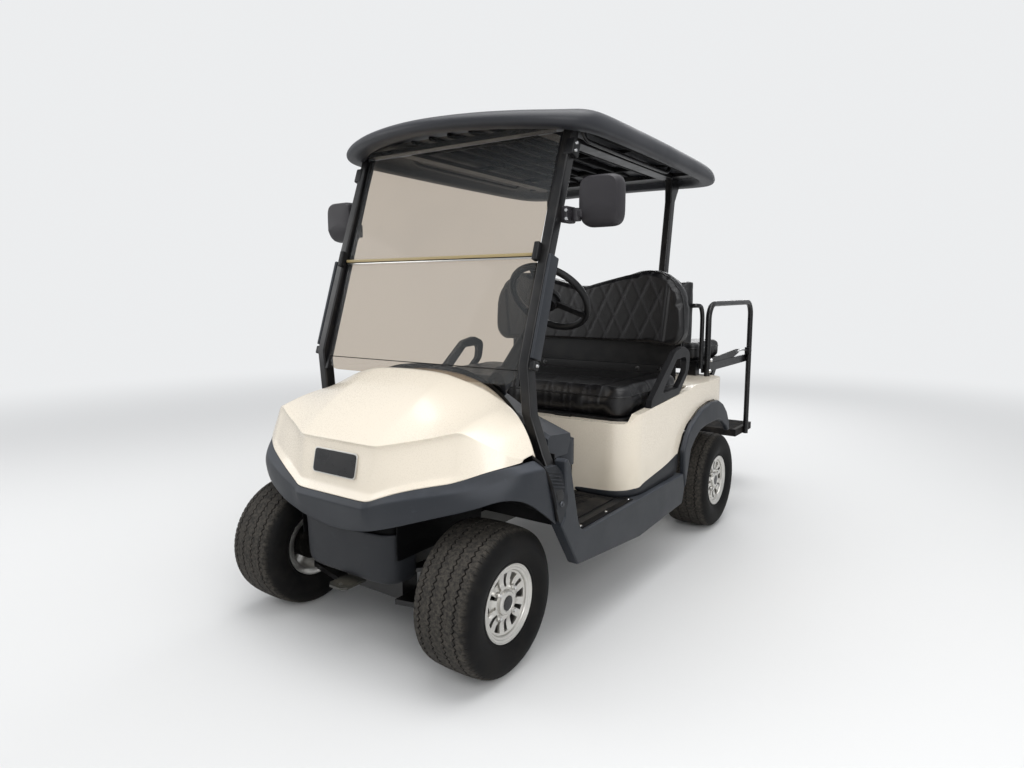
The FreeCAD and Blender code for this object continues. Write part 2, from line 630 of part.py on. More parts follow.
# Dash stations. Columns: x, front y, top z, rear lip z
DASH = [
    (0.0, 268.0, 858.0, 792.0),
    (168.0, 260.0, 843.0, 784.0),
    (250.0, 254.0, 824.0, 770.0),
    (350.0, 240.0, 770.0, 738.0),
    (408.0, 230.0, 738.0, 716.0),
    (455.0, 230.0, 716.0, 700.0),
    (516.0, 230.0, 690.0, 678.0),
]


def dash_wire(x, front, top, lip):
    profile = [(front, DASH_LOW_Z), (front, top - 10), (front + 16, top), (330, top - 8), (368, lip),
               (372, lip - 20), (350, DASH_LOW_Z)]
    return polygon([V(x, y, z) for y, z in profile])


def dash():
    """Dark dash moulding with an open tray, and a cup holder behind each end."""
    shape = Part.makeLoft([dash_wire(*row) for row in mirror_rows(DASH)], True, True)
    shape = shape.cut(box(-TRAY_HALF, TRAY_HALF, 300, 400, TRAY_LOW_Z, TRAY_TOP_Z))
    up = steering_direction()
    hub = V(WHEEL_HUB_X, WHEEL_HUB_Y, WHEEL_HUB_Z)
    foot = hub - up * (COLUMN_LENGTH + 2)
    boss = Part.makeCylinder(COLUMN_R + 14, 70, foot, up)
    shape = shape.fuse(boss.common(box(0, BODY_HALF_WIDTH, 270, 400, TRAY_TOP_Z, 1000)))
    shape = shape.cut(Part.makeCylinder(COLUMN_R + FIT_GAP, COLUMN_LENGTH, foot, up))
    for x in (-CUP_X, CUP_X):
        wall = CUP_R + CUP_WALL
        holder = rod(wall, (x, CUP_Y, CUP_TOP_Z - CUP_DEPTH - CUP_WALL), (x, CUP_Y, CUP_TOP_Z))
        neck = box(x - wall * 0.7, x + wall * 0.7, 352, CUP_Y, DASH_LOW_Z + 4, CUP_TOP_Z)
        well = rod(CUP_R, (x, CUP_Y, CUP_TOP_Z - CUP_DEPTH), (x, CUP_Y, CUP_TOP_Z + 1))
        shape = shape.fuse(holder.fuse(neck)).cut(well)
    return shape


# The toe board's slanted face runs from the floor's front edge up to this point, y then z
TOE_TOP = (226.0, 600.0)


def toe_board():
    """Sloping front wall of the foot well, from the floor up to the dash."""
    t = PANEL_T
    y, z = TOE_TOP
    profile = [(FLOOR_FRONT_Y, RAIL_TOP_Z), (FLOOR_FRONT_Y + 14, FLOOR_TOP_Z), (y, z), (y, z + 40),
               (y - t, z + 40), (y - t, z - 4), (FLOOR_FRONT_Y, RAIL_TOP_Z + 3)]
    return side_plate(profile, -BODY_HALF_WIDTH + SILL_T + 12, BODY_HALF_WIDTH - SILL_T - 12)


def toe_face_y(z):
    """Y of the toe board's slanted face at height z."""
    y0, z0 = FLOOR_FRONT_Y + 14, FLOOR_TOP_Z
    y1, z1 = TOE_TOP
    return y0 + (y1 - y0) * (z - z0) / (z1 - z0)


def floor_pan():
    """Floor of the foot well with the toe board and the panel behind the seat pod's notch."""
    x = BODY_HALF_WIDTH - SILL_T - FIT_GAP
    floor = box(-x, x, FLOOR_FRONT_Y, 1180, RAIL_TOP_Z, FLOOR_TOP_Z)
    well = box(-345, 345, SKIRT_Y + SHELL_T + 90, 1160, RAIL_TOP_Z - 1, FLOOR_TOP_Z + 1)
    return floor.cut(well).fuse([toe_board(), seat_riser()])


def floor_mat():
    x = BODY_HALF_WIDTH - SILL_T - 40
    return box(-x, x, FLOOR_FRONT_Y + 60, SKIRT_Y - 12, FLOOR_TOP_Z, FLOOR_TOP_Z + MAT_T)


# Sill outline, side view, from the foot of the front post back to the rear arch. Columns: y, z
SILL = [(178, 428), (200, 452), (202, 520), (198, 628), (216, 634), (236, 606), (252, 540), (284, 420),
        (302, 386), (330, SILL_TOP_Z), (1180, SILL_TOP_Z), (1194, 300), (1172, 242), (753, 222), (285, 268)]


def sill():
    """Door sill with the riser that closes the front wheel arch, as a shell open inwards."""
    return side_plate(SILL, BODY_HALF_WIDTH - SILL_T, BODY_HALF_WIDTH)


# Rear fender outline, side view. Columns: y, z
REAR_FENDER = [(1196, 300), (1182, SILL_TOP_Z), (1173, 470), (1210, 530), (1258, 569), (1387, 621),
               (1500, 636), (1590, 634), (1655, 608), (1715, 562), (1750, 510), (1760, 464),
               (1738, 464), (1710, 492), (1653, 524), (1590, 542), (1512, 542), (1430, 540), (1358, 530),
               (1300, 502), (1250, 462)]


def rear_fender():
    return side_plate(REAR_FENDER, BODY_HALF_WIDTH - 22, BODY_HALF_WIDTH + 4)


# Top edge of the seat pod in side view, y then z: front wall, rail beside the cushion, deck
POD_TOP = [(SKIRT_Y - 100, SKIRT_TOP_Z), (735, SKIRT_TOP_Z), (775, 684), (1300, 722),
           (DECK_FRONT_Y, DECK_Z), (BODY_REAR_Y + 240, DECK_Z)]
# Lower edge of the seat pod in side view, y then z
POD_LOW = [(SKIRT_Y + 100, 300), (SKIRT_Y + 100, 400), (1150, 442), (1170, 476), (1208, 533), (1256, 572),
           (1386, 624), (1500, 639), (1592, 637), (1658, 610), (1718, 565), (1756, 512), (1766, 464),
           (BODY_REAR_Y + 240, 464), (BODY_REAR_Y + 240, 300)]


def rear_body():
    """Pale seat pod: walls round the batteries and over the rear wheels, with the deck behind the seat."""
    w, t = POD_HALF_WIDTH, SHELL_T
    outer = slab(-w, w, SKIRT_Y, BODY_REAR_Y, FLOOR_TOP_Z + 4, DECK_Z, POD_CORNER_R)
    inner = slab(-w + t, w - t, SKIRT_Y + t, BODY_REAR_Y - t, 0, 900, POD_CORNER_R - t)
    deck = box(-w, w, DECK_FRONT_Y, BODY_REAR_Y, DECK_Z - t, DECK_Z).common(outer)
    ledge = box(-w + t, w - t, SKIRT_Y + t, SKIRT_Y + LEDGE, SKIRT_TOP_Z - t, SKIRT_TOP_Z).common(outer)
    rail = side_plate([(735, SKIRT_TOP_Z - t), (1330, SKIRT_TOP_Z - t + 48), (1330, DECK_Z),
                       (735, DECK_Z)], SEAT_HALF_WIDTH + 9, w - t / 2).common(outer)
    shape = outer.cut(inner).fuse([deck, ledge, rail, mirrored(rail)])
    wide = BODY_HALF_WIDTH + 100
    below = side_plate(POD_LOW, -wide, wide)
    above = side_plate(POD_TOP + [(BODY_REAR_Y + 240, DECK_Z + 170), (SKIRT_Y - 100, DECK_Z + 170)],
                       -wide, wide)
    notch = box(-NOTCH_HALF, NOTCH_HALF, SKIRT_Y - 10, SKIRT_Y + t + 10, 300, NOTCH_TOP_Z)
    return shape.cut(below).cut(above).cut(notch)


def seat_riser():
    """Black panel behind the notch of the seat pod, between the floor and the seat base."""
    y = SKIRT_Y + SHELL_T + 2
    return box(-NOTCH_HALF - 60, NOTCH_HALF + 60, y, y + PANEL_T, FLOOR_TOP_Z, SKIRT_TOP_Z - SHELL_T - 1)


# Front post, from its foot plate up. Columns: x, y, z, width, depth
FRONT_STRUT = [
    (BODY_HALF_WIDTH - 9, 176, 446, 18, 16),
    (BODY_HALF_WIDTH - 12, 172, 530, 22, 44),
    (BODY_HALF_WIDTH - 44, 170, 600, 34, FRONT_STRUT_D),
    (BODY_HALF_WIDTH - 77, 184, 650, 34, FRONT_STRUT_D),
    (FRONT_STRUT_X + 3, 190, 765, FRONT_STRUT_W, FRONT_STRUT_D),
    (FRONT_STRUT_X, 176, 921, FRONT_STRUT_W, FRONT_STRUT_D),
    (FRONT_STRUT_X, 290, 1258, FRONT_STRUT_W, FRONT_STRUT_D),
    (FRONT_STRUT_X, 436, FRONT_STRUT_TOP_Z, FRONT_STRUT_W, FRONT_STRUT_D),
]


def front_strut(side):
    """Bent post from the body's side up to the front of the roof."""
    shape = column(FRONT_STRUT)
    return shape if side > 0 else mirrored(shape)


def rear_strut_y(z):
    return REAR_STRUT_FOOT_Y + (z - DECK_Z) * REAR_STRUT_LEAN


def rear_strut(side):
    """Post from the deck up to the rear of the roof, with a flared head."""
    x, w, d = REAR_STRUT_X, REAR_STRUT_W, REAR_STRUT_D
    rows = [(x, rear_strut_y(z), z, w, d) for z in (DECK_Z, 1250)]
    rows += [(x, 1592, 1560, w, d), (x, 1625, REAR_STRUT_TOP_Z, w, 120)]
    shape = column(rows)
    return shape if side > 0 else mirrored(shape)


def roof_level(inset, z, front_r, rear_r):
    """Level outline of the roof, drawn in from its widest outline by the inset."""
    wf, wr = ROOF_FRONT_HALF - inset, ROOF_REAR_HALF - inset
    y0, y1 = ROOF_FRONT_Y + inset, ROOF_REAR_Y - inset
    points = [V(-wf, y0, z), V(wf, y0, z), V(wr, y1, z), V(-wr, y1, z)]
    return rounded_outline(points, [front_r, front_r, rear_r, rear_r])


def tipped(shape):
    """Tip a level roof piece so that it falls to the rear."""
    shape.rotate(V(0, ROOF_FRONT_Y, ROOF_LOW_Z), V(1, 0, 0), -ROOF_FALL)
    return shape


def roof():
    """Moulded roof: rounded rim, crowned top, open underside and two pads for the cross bars."""
    f, r, t = ROOF_FRONT_R, ROOF_REAR_R, ROOF_T
    top = ROOF_LOW_Z + ROOF_EDGE_H
    outer = loft([roof_level(12, ROOF_LOW_Z, f, r), roof_level(0, ROOF_LOW_Z + 14, f, r),
                  roof_level(8, ROOF_LOW_Z + 32, f, r), roof_level(50, top + 12, f * 0.9, r * 0.9),
                  roof_level(200, top + ROOF_CROWN_H, f * 0.5, r * 0.5)])
    ir = ROOF_INNER_R
    inner = loft([roof_level(12 + ROOF_WALL, ROOF_LOW_Z - 1, ir, ir),
                  roof_level(50 + t, top + 12 - t, ir, ir),
                  roof_level(200, top + ROOF_CROWN_H - t, ir * 0.8, ir * 0.8)])
    pads = box(-440, 440, 410, 436, FRONT_BAR_TOP, top + 14)
    pads = pads.fuse(box(-420, 420, 1600, 1640, REAR_BAR_TOP, top + 20))
    return tipped(outer.cut(inner).fuse(pads))


def roof_frame():
    """Cross bars under the roof that the posts bolt to, and the bars between them."""
    x = FRONT_STRUT_X + FRONT_STRUT_W / 2
    shape = box(-x, x, 408, 456, FRONT_BAR_TOP - BAR_T, FRONT_BAR_TOP)
    shape = shape.fuse(box(-440, 440, 1548, 1672, REAR_BAR_TOP - BAR_T, REAR_BAR_TOP))
    long_bar = box(REAR_STRUT_X - 30, REAR_STRUT_X + 30, 440, 1550, FRONT_BAR_TOP - 7, REAR_BAR_TOP - 10)
    return tipped(shape.fuse([long_bar, mirrored(long_bar)]))


def pane(low, high, half_width, t):
    """A flat pane between two (y, z) edges."""
    dy, dz = high[0] - low[0], high[1] - low[1]
    length = math.hypot(dy, dz)
    ny, nz = -dz / length * t, dy / length * t
    return side_plate([low, high, (high[0] + ny, high[1] + nz), (low[0] + ny, low[1] + nz)],
                      -half_width, half_width)


# Windshield edges in side view, each (y, z): foot, top of the lower pane, foot of the upper pane, top
PANE_LOW = (166.0, 852.0)
PANE_FOLD_LOW = (286.0, 1248.0)
PANE_FOLD_HIGH = (290.0, 1264.0)
PANE_TOP = (428.0, 1655.0)


def windshield_frame():
    """Side channels beside both panes and the strip along the fold."""
    x0, x1 = GLASS_HALF_WIDTH + FIT_GAP, FRONT_STRUT_X - FRONT_STRUT_W / 2
    depth = 9.0
    strip = 4.0
    y0, z0 = PANE_LOW
    y1, z1 = PANE_TOP
    channel = side_plate([(y0 - depth, z0), (y1 - depth, z1), (y1 + depth, z1), (y0 + depth, z0)], x0, x1)
    fold = box(-x0, x0, PANE_FOLD_LOW[0] - strip * 3, PANE_FOLD_HIGH[0] + strip * 2, PANE_FOLD_LOW[1] + strip,
               PANE_FOLD_HIGH[1] - FIT_GAP)
    return fold.fuse([channel, mirrored(channel)])


def mirror_housing(side):
    """Door mirror on a short arm from the front post."""
    shape = slab(MIRROR_X, MIRROR_X + MIRROR_WIDTH, 372, 432, 1345, 1506, 20)
    arm = box(FRONT_STRUT_X + FRONT_STRUT_W / 2, MIRROR_X + 7, 322, 384, 1376, 1400)
    shape = shape.fuse(arm)
    return shape if side > 0 else mirrored(shape)


def steering_direction():
    angle = math.radians(COLUMN_ANGLE)
    return V(0, math.cos(angle), math.sin(angle))


def steering_wheel():
    """Rim, three spokes and a hub boss, square to the column."""
    up = steering_direction()
    centre = V(WHEEL_HUB_X, WHEEL_HUB_Y, WHEEL_HUB_Z)
    shape = Part.makeTorus(WHEEL_RIM_R, WHEEL_GRIP_R, V(0, 0, 0), V(0, 0, 1))
    hub = Part.makeCylinder(38, 34, V(0, 0, -34))
    shape = shape.fuse(hub)
    for angle in (90, 210, 330):
        spoke = box(20, WHEEL_RIM_R - 4, -14, 14, -18, -8)
        spoke.rotate(V(0, 0, 0), V(0, 0, 1), angle + 180)
        shape = shape.fuse(spoke)
    shape = shape.fuse(Part.makeCylinder(SHAFT_R, 60, V(0, 0, -60)))
    turn = FreeCAD.Rotation(V(0, 0, 1), up)
    shape.Placement = FreeCAD.Placement(centre, turn)
    return shape


def steering_column():
    """Fixed jacket tube from below the wheel down behind the dash."""
    up = steering_direction()
    centre = V(WHEEL_HUB_X, WHEEL_HUB_Y, WHEEL_HUB_Z)
    top = centre - up * 40
    low = centre - up * COLUMN_LENGTH
    jacket = Part.makeCylinder(COLUMN_R, (top - low).Length, low, up)
    bore = Part.makeCylinder(SHAFT_R + RUN_GAP, 30, top - up * 25, up)
    return jacket.cut(bore)


def pedal(x0, x1, low_z, high_z, front_y):
    """A foot plate on an arm that ends just short of the toe board."""
    arm_z = high_z - 34
    middle = (x0 + x1) / 2
    plate = box(x0, x1, front_y, front_y + PEDAL_T, low_z, high_z)
    reach = toe_face_y(arm_z) + FIT_GAP
    arm = side_plate([(reach, arm_z), (front_y, arm_z), (front_y, arm_z + PEDAL_T),
                      (toe_face_y(arm_z + PEDAL_T) + FIT_GAP, arm_z + PEDAL_T)], middle - 8, middle + 8)
    return plate.fuse(arm)


def pedals():
    """Brake and accelerator on arms that come out of the toe board."""
    return pedal(150, 230, 470, 540, 330).fuse(pedal(300, 360, 420, 520, 340))


def front_seat():
    return slab(-SEAT_HALF_WIDTH, SEAT_HALF_WIDTH, SEAT_FRONT_Y, SEAT_REAR_Y, SEAT_LOW_Z + SEAT_BASE_T,
                SEAT_LOW_Z + SEAT_T, SEAT_CORNER_R)


def seat_base():
    """Tray below the front cushion, with two barrels that turn on the pod's hinge pins."""
    x = SEAT_HALF_WIDTH - 8
    tray = slab(-x, x, SEAT_FRONT_Y + 12, SEAT_REAR_Y - 8, SEAT_LOW_Z, SEAT_LOW_Z + SEAT_BASE_T,
                SEAT_CORNER_R)
    half = SEAT_BARREL / 2
    for middle in (-SEAT_HINGE_X, SEAT_HINGE_X):
        start, end = (middle - half, SEAT_HINGE_Y, SEAT_HINGE_Z), (middle + half, SEAT_HINGE_Y, SEAT_HINGE_Z)
        barrel = rod(SEAT_BASE_T / 2, start, end)
        leaf = box(middle - half, middle + half, SEAT_HINGE_Y, SEAT_FRONT_Y + 14, SEAT_LOW_Z,
                   SEAT_LOW_Z + SEAT_BASE_T)
        tray = tray.fuse(barrel.fuse(leaf)).cut(rod(SEAT_PIN_R + RUN_GAP, start, end))
    return tray


def seat_hinges():
    """Pins and ears on the pod's front ledge that the seat base turns on, one set a side."""
    half = SEAT_BARREL / 2 + FIT_GAP
    ear = 6.0
    pieces = []
    for middle in (-SEAT_HINGE_X, SEAT_HINGE_X):
        y, z = SEAT_HINGE_Y, SEAT_HINGE_Z
        pieces.append(rod(SEAT_PIN_R, (middle - half - ear, y, z), (middle + half + ear, y, z)))
        for x0 in (middle - half - ear, middle + half):
            pieces.append(rod(SEAT_BASE_T / 2 - FIT_GAP, (x0, y, z), (x0 + ear, y, z)))
            pieces.append(box(x0, x0 + ear, y - 4, y + 4, SKIRT_TOP_Z, z))
    return pieces[0].fuse(pieces[1:])


def backrest_outline(y, low, top, half, dip):
    """Front view of a two-place backrest: two humps with a dip between them."""
    r = 80.0
    k = r * (1 - math.sqrt(0.5))
    hump = half * 0.6
    # Right half from the middle of the bottom edge round to the dip
    corners = [V(half - r, y, low), V(half - k, y, low + k), V(half, y, low + r), V(half, y, top - 190),
               V(half - 52, y, top - 55), V(hump, y, top), V(hump * 0.5, y, top - dip * 0.4),
               V(0, y, top - dip)]
    half_path = [(corners[0], corners[1], corners[2]), (corners[3], corners[4], corners[5]),
                 (corners[5], corners[6], corners[7])]
    edges = [Part.LineSegment(V(-corners[0].x, y, low), corners[0]).toShape(),
             Part.LineSegment(corners[2], corners[3]).toShape(),
             Part.LineSegment(V(-corners[3].x, y, corners[3].z), V(-corners[2].x, y, corners[2].z)).toShape()]
    for start, mid, end in half_path:
        edges.append(Part.Arc(start, mid, end).toShape())
        edges.append(Part.Arc(*[V(-p.x, p.y, p.z) for p in (end, mid, start)]).toShape())
    return Part.Wire(Part.__sortEdges__(edges))


def front_backrest():
    wire = backrest_outline(BACK_FRONT_Y, BACK_LOW_Z, BACK_TOP_Z, BACK_HALF_WIDTH, BACK_DIP)
    return Part.Face(wire).extrude(V(0, BACK_T, 0))


def back_support():
    """Black plates behind both backrests, with the blocks that fasten them to the rear posts."""
    front = BACK_FRONT_Y + BACK_T + FIT_GAP
    rear = REAR_BACK_Y - FIT_GAP
    half_d = REAR_STRUT_D / 2 + FIT_GAP
    plates = [box(-470, 470, front, front + PLATE_T, SUPPORT_LOW_Z, BACK_LOW_Z + 190),
              box(-430, 430, rear - PLATE_T, rear, REAR_BACK_LOW_Z - 20, REAR_BACK_TOP_Z - 60)]
    x0, x1 = REAR_STRUT_X - 14, REAR_STRUT_X + 14
    low, high = SUPPORT_LOW_Z + 10, BACK_LOW_Z + 170
    block = side_plate([(front, low), (rear_strut_y(low) - half_d, low), (rear_strut_y(high) - half_d, high),
                        (front, high)], x0, x1)
    low = REAR_BACK_LOW_Z
    back_block = side_plate([(rear, low), (rear_strut_y(low) + half_d, low),
                             (rear_strut_y(high) + half_d, high), (rear, high)], x0, x1)
    halves = plates + [block, mirrored(block), back_block, mirrored(back_block)]
    return halves[0].fuse(halves[1:])


# Hip rest outlines in side view, outer and inner. Columns: y, z, corner radius
HIP_REST_OUTER = [(880, 692.5, 0), (890, 722, 14), (1112, 895, 40), (1205, 912, 34), (1280, 884, 34),
                  (1264, 800, 60), (1165, 714.5, 10)]
HIP_REST_INNER = [(985, 738, 8), (1130, 862, 22), (1240, 868, 22), (1228, 802, 30), (1150, 742, 14)]


def hip_rests():
    """Closed loops beside the front seat that hold the riders in."""
    x0 = SEAT_HALF_WIDTH + 15
    x1 = x0 + 24
    loop = side_panel(HIP_REST_OUTER, x0, x1).cut(side_panel(HIP_REST_INNER, x0 - 1, x1 + 1))
    return both(loop)


def rear_seat_frame():
    """Steel frame below the rear seat, side arms out to the loops, and the hinge pins of the flip seat."""
    x = REAR_SEAT_HALF_WIDTH - 15
    top = REAR_DECK_LOW_Z - 1
    low = DECK_Z
    end = REAR_SEAT_BACK_Y - 10
    rail = box(x - 40, x, REAR_SEAT_FRONT_Y, end, low + 30, top)
    post = box(x - 40, x, REAR_SEAT_FRONT_Y, REAR_SEAT_FRONT_Y + 50, low, top)
    front_cross = box(-x, x, REAR_SEAT_FRONT_Y, REAR_SEAT_FRONT_Y + 40, low + 30, top)
    rear_cross = box(-x, x, end - 40, end, low + 30, top)
    brace = side_plate([(end - 40, low + 32), (end, low + 32), (BODY_REAR_Y + 12, 470),
                        (BODY_REAR_Y + 1, 470), (BODY_REAR_Y + 1, 520)], x - 40, x - 10)
    arm_x = LOOP_X - LOOP_R - FIT_GAP
    arm = box(arm_x - ARM_T, arm_x, LOOP_FRONT_Y - LOOP_R, LOOP_REAR_Y + LOOP_R, ARM_LOW_Z, ARM_LOW_Z + 40)
    tie = box(x - 1, arm_x - ARM_T + 1, end - 40, end, ARM_LOW_Z + 15, ARM_LOW_Z + 40)
    half = rail.fuse([post, brace, arm, tie])
    shape = front_cross.fuse([rear_cross, half, mirrored(half)])
    y, z = REAR_HINGE_Y, REAR_HINGE_Z
    for middle in (-REAR_HINGE_X, REAR_HINGE_X):
        inner = REAR_LUG / 2 + FIT_GAP
        outer = inner + REAR_EAR
        shape = shape.fuse(rod(REAR_PIN_R, (middle - outer, y, z), (middle + outer, y, z)))
        for x0 in (middle - outer, middle + inner):
            ear = side_plate([(end - 20, top - 22), (y, z - REAR_HINGE_R), (y, z), (end - 20, top - 6)],
                             x0, x0 + REAR_EAR)
            shape = shape.fuse(rod(REAR_HINGE_R, (x0, y, z), (x0 + REAR_EAR, y, z)).fuse(ear))
    return shape


def rear_deck():
    """Deck board under the rear cushion, with two lugs that turn on the frame's hinge pins."""
    x = REAR_SEAT_HALF_WIDTH - 12
    top = REAR_DECK_LOW_Z + DECK_BOARD_T
    shape = box(-x, x, REAR_SEAT_FRONT_Y + 6, REAR_SEAT_BACK_Y - 4, REAR_DECK_LOW_Z, top)
    for middle in (-REAR_HINGE_X, REAR_HINGE_X):
        x0, x1 = middle - REAR_LUG / 2, middle + REAR_LUG / 2
        lug = rod(REAR_HINGE_R - 1, (x0, REAR_HINGE_Y, REAR_HINGE_Z), (x1, REAR_HINGE_Y, REAR_HINGE_Z))
        arm = box(x0, x1, REAR_SEAT_BACK_Y - 6, REAR_HINGE_Y, REAR_DECK_LOW_Z, top)
        bore = rod(REAR_PIN_R + RUN_GAP, (x0 - 1, REAR_HINGE_Y, REAR_HINGE_Z),
                   (x1 + 1, REAR_HINGE_Y, REAR_HINGE_Z))
        shape = shape.fuse(lug.fuse(arm)).cut(bore)
    return shape


def rear_cushion():
    low = REAR_DECK_LOW_Z + DECK_BOARD_T
    return slab(-REAR_SEAT_HALF_WIDTH, REAR_SEAT_HALF_WIDTH, REAR_SEAT_FRONT_Y, REAR_SEAT_BACK_Y,
                low, low + REAR_SEAT_T, 40)


def rear_backrest():
    return slab(-REAR_SEAT_HALF_WIDTH, REAR_SEAT_HALF_WIDTH, REAR_BACK_Y, REAR_BACK_Y + REAR_BACK_T,
                REAR_BACK_LOW_Z, REAR_BACK_TOP_Z, 40)


def grab_loop(side):
    """Bent tube that stands beside the rear seat and runs down to the foot rest."""
    points = [(LOOP_X, LOOP_FRONT_Y, DECK_Z), (LOOP_X, LOOP_FRONT_Y, LOOP_TOP_Z),
              (LOOP_X, LOOP_REAR_Y, LOOP_TOP_Z), (LOOP_X, LOOP_REAR_Y, FOOT_Z - FOOT_T)]
    shape = bent_tube(points, LOOP_R, LOOP_BEND)
    return shape if side > 0 else mirrored(shape)


def foot_rest():
    plate = box(-FOOT_HALF_WIDTH, FOOT_HALF_WIDTH, FOOT_FRONT_Y, FOOT_REAR_Y, FOOT_Z - FOOT_T, FOOT_Z)
    low = FOOT_Z - FOOT_T + 6
    arm = box(RAIL_X - 20, RAIL_X + 20, RAIL_REAR_Y, FOOT_FRONT_Y, low, RAIL_TOP_Z)
    return plate.fuse([arm, mirrored(arm)])


def main():
    os.makedirs("parts", exist_ok=True)
    root_pieces = {
        "frame_rails": frame_rails, "front_suspension": front_suspension, "rack_housing": rack_housing,
        "rear_axle": rear_axle, "rear_springs": rear_springs, "battery_pack": battery_pack,
        "front_cowl": front_cowl, "front_fender": front_fender, "front_valance": front_valance,
        "dash": dash, "floor_pan": floor_pan, "floor_mat": floor_mat, "rear_body": rear_body,
        "roof": roof, "roof_frame": roof_frame, "windshield_frame": windshield_frame,
        "steering_column": steering_column, "pedals": pedals, "front_backrest": front_backrest,
        "back_support": back_support, "hip_rests": hip_rests, "rear_seat_frame": rear_seat_frame,
        "rear_backrest": rear_backrest, "foot_rest": foot_rest, "seat_hinges": seat_hinges,
        "steering_rack": rack, "steering_wheel": steering_wheel, "front_seat": front_seat,
        "seat_base": seat_base, "rear_cushion": rear_cushion, "rear_deck": rear_deck,
    }
    for name, make in root_pieces.items():
        save(name, make())
    pairs = {"sills": sill, "rear_fenders": rear_fender}
    for name, make in pairs.items():
        save(name, both(make()))
    for name, make in {"front_struts": front_strut, "rear_struts": rear_strut, "mirrors": mirror_housing,
                       "grab_loops": grab_loop}.items():
        save(name, both(make(1)))
    save("windshield_lower", pane(PANE_LOW, PANE_FOLD_LOW, GLASS_HALF_WIDTH, GLASS_T))
    save("windshield_upper", pane(PANE_FOLD_HIGH, PANE_TOP, GLASS_HALF_WIDTH, GLASS_T))
    for name, side in (("left", 1), ("right", -1)):
        save("knuckle_" + name, knuckle(side))
        save("tie_rod_" + name, tie_rod(side))
        for end, half_track, y in (("front", FRONT_HALF_TRACK, 0.0), ("rear", REAR_HALF_TRACK, WHEELBASE)):
            save("tyre_" + end + "_" + name, tyre(side, half_track, y))
            save("wheel_" + end + "_" + name, rim(side, half_track, y).fuse(wheel_cap(side, half_track, y)))


main()
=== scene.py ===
"""Looks of a four-seat golf cart with a rear-facing seat kit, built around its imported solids.

Lengths are metres. Y is read from the front axle in the classes below and moved by AXLE_Y when a
mesh is finished, so that every number can be compared with a drawing of the cart.
"""

from __future__ import annotations

import json
import logging
import math
from dataclasses import dataclass, field
from enum import Enum
from typing import Iterable, Sequence

import bmesh
import bpy
from mathutils import Matrix, Vector

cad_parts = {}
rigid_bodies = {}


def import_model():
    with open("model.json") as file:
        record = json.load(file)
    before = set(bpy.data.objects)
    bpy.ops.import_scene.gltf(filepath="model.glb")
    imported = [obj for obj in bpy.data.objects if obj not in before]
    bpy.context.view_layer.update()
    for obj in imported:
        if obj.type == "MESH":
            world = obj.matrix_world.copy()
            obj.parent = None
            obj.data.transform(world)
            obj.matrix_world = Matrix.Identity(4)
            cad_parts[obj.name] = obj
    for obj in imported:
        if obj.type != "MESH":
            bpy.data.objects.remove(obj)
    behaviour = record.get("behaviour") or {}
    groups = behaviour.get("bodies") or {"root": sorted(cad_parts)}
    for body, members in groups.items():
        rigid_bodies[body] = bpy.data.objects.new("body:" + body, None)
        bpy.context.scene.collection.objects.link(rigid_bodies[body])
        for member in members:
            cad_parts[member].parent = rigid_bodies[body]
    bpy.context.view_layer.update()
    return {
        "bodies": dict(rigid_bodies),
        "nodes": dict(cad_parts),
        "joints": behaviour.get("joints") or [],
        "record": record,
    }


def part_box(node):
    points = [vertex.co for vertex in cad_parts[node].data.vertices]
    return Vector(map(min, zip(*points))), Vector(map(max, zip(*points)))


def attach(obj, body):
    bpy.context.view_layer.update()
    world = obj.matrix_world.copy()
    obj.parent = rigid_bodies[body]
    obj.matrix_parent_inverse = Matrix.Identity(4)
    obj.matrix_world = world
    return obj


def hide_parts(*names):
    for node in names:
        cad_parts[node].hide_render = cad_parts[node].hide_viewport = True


LOG = logging.getLogger("golf_cart")

# The front axle's y in the frame, the wheelbase, how far each wheel stands from the cart's middle, and
# the tyres' radius
AXLE_Y = -1.152
WHEELBASE = 1.665
FRONT_TRACK = 0.438
REAR_TRACK = 0.489
TYRE_R = 0.228

# Angles in degrees above which an edge stays sharp: as a rule, on bars and heads, and never
CREASE = 32.0
BAR_CREASE = 50.0
HEAD_CREASE = 40.0
SMOOTH = 180.0

# Vertices closer than this are one: in a new mesh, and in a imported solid
SAME = 1e-6
WELD = 1e-5

Point = tuple[float, float, float]
Pair = tuple[float, float]
Rows = tuple[tuple[float, ...], ...]
Columns = Sequence[Sequence[Point]]
Mesh = bmesh.types.BMesh
Piece = bpy.types.Object
Material = bpy.types.Material


class Side(Enum):
    """Left and right of the cart, as the sign of x."""

    LEFT = 1
    RIGHT = -1

    @property
    def tail(self) -> str:
        """How the names of this side's pieces end."""
        return "_" + self.name.lower()

    def facing(self) -> Point:
        """Direction that looks away from the cart on this side."""
        return (self.value, 0, 0)


def srgb(code: str) -> tuple[float, float, float, float]:
    """Linear colour of a hex code.

    Args:
        code: six hex digits, as a screen shows the colour.

    Returns:
        Linear red, green, blue and an alpha of 1.
    """
    parts = [int(code[index:index + 2], 16) / 255 for index in (0, 2, 4)]
    linear = [c / 12.92 if c <= 0.04045 else ((c + 0.055) / 1.055) ** 2.4 for c in parts]
    return (*linear, 1.0)


# ---- shader maths ----


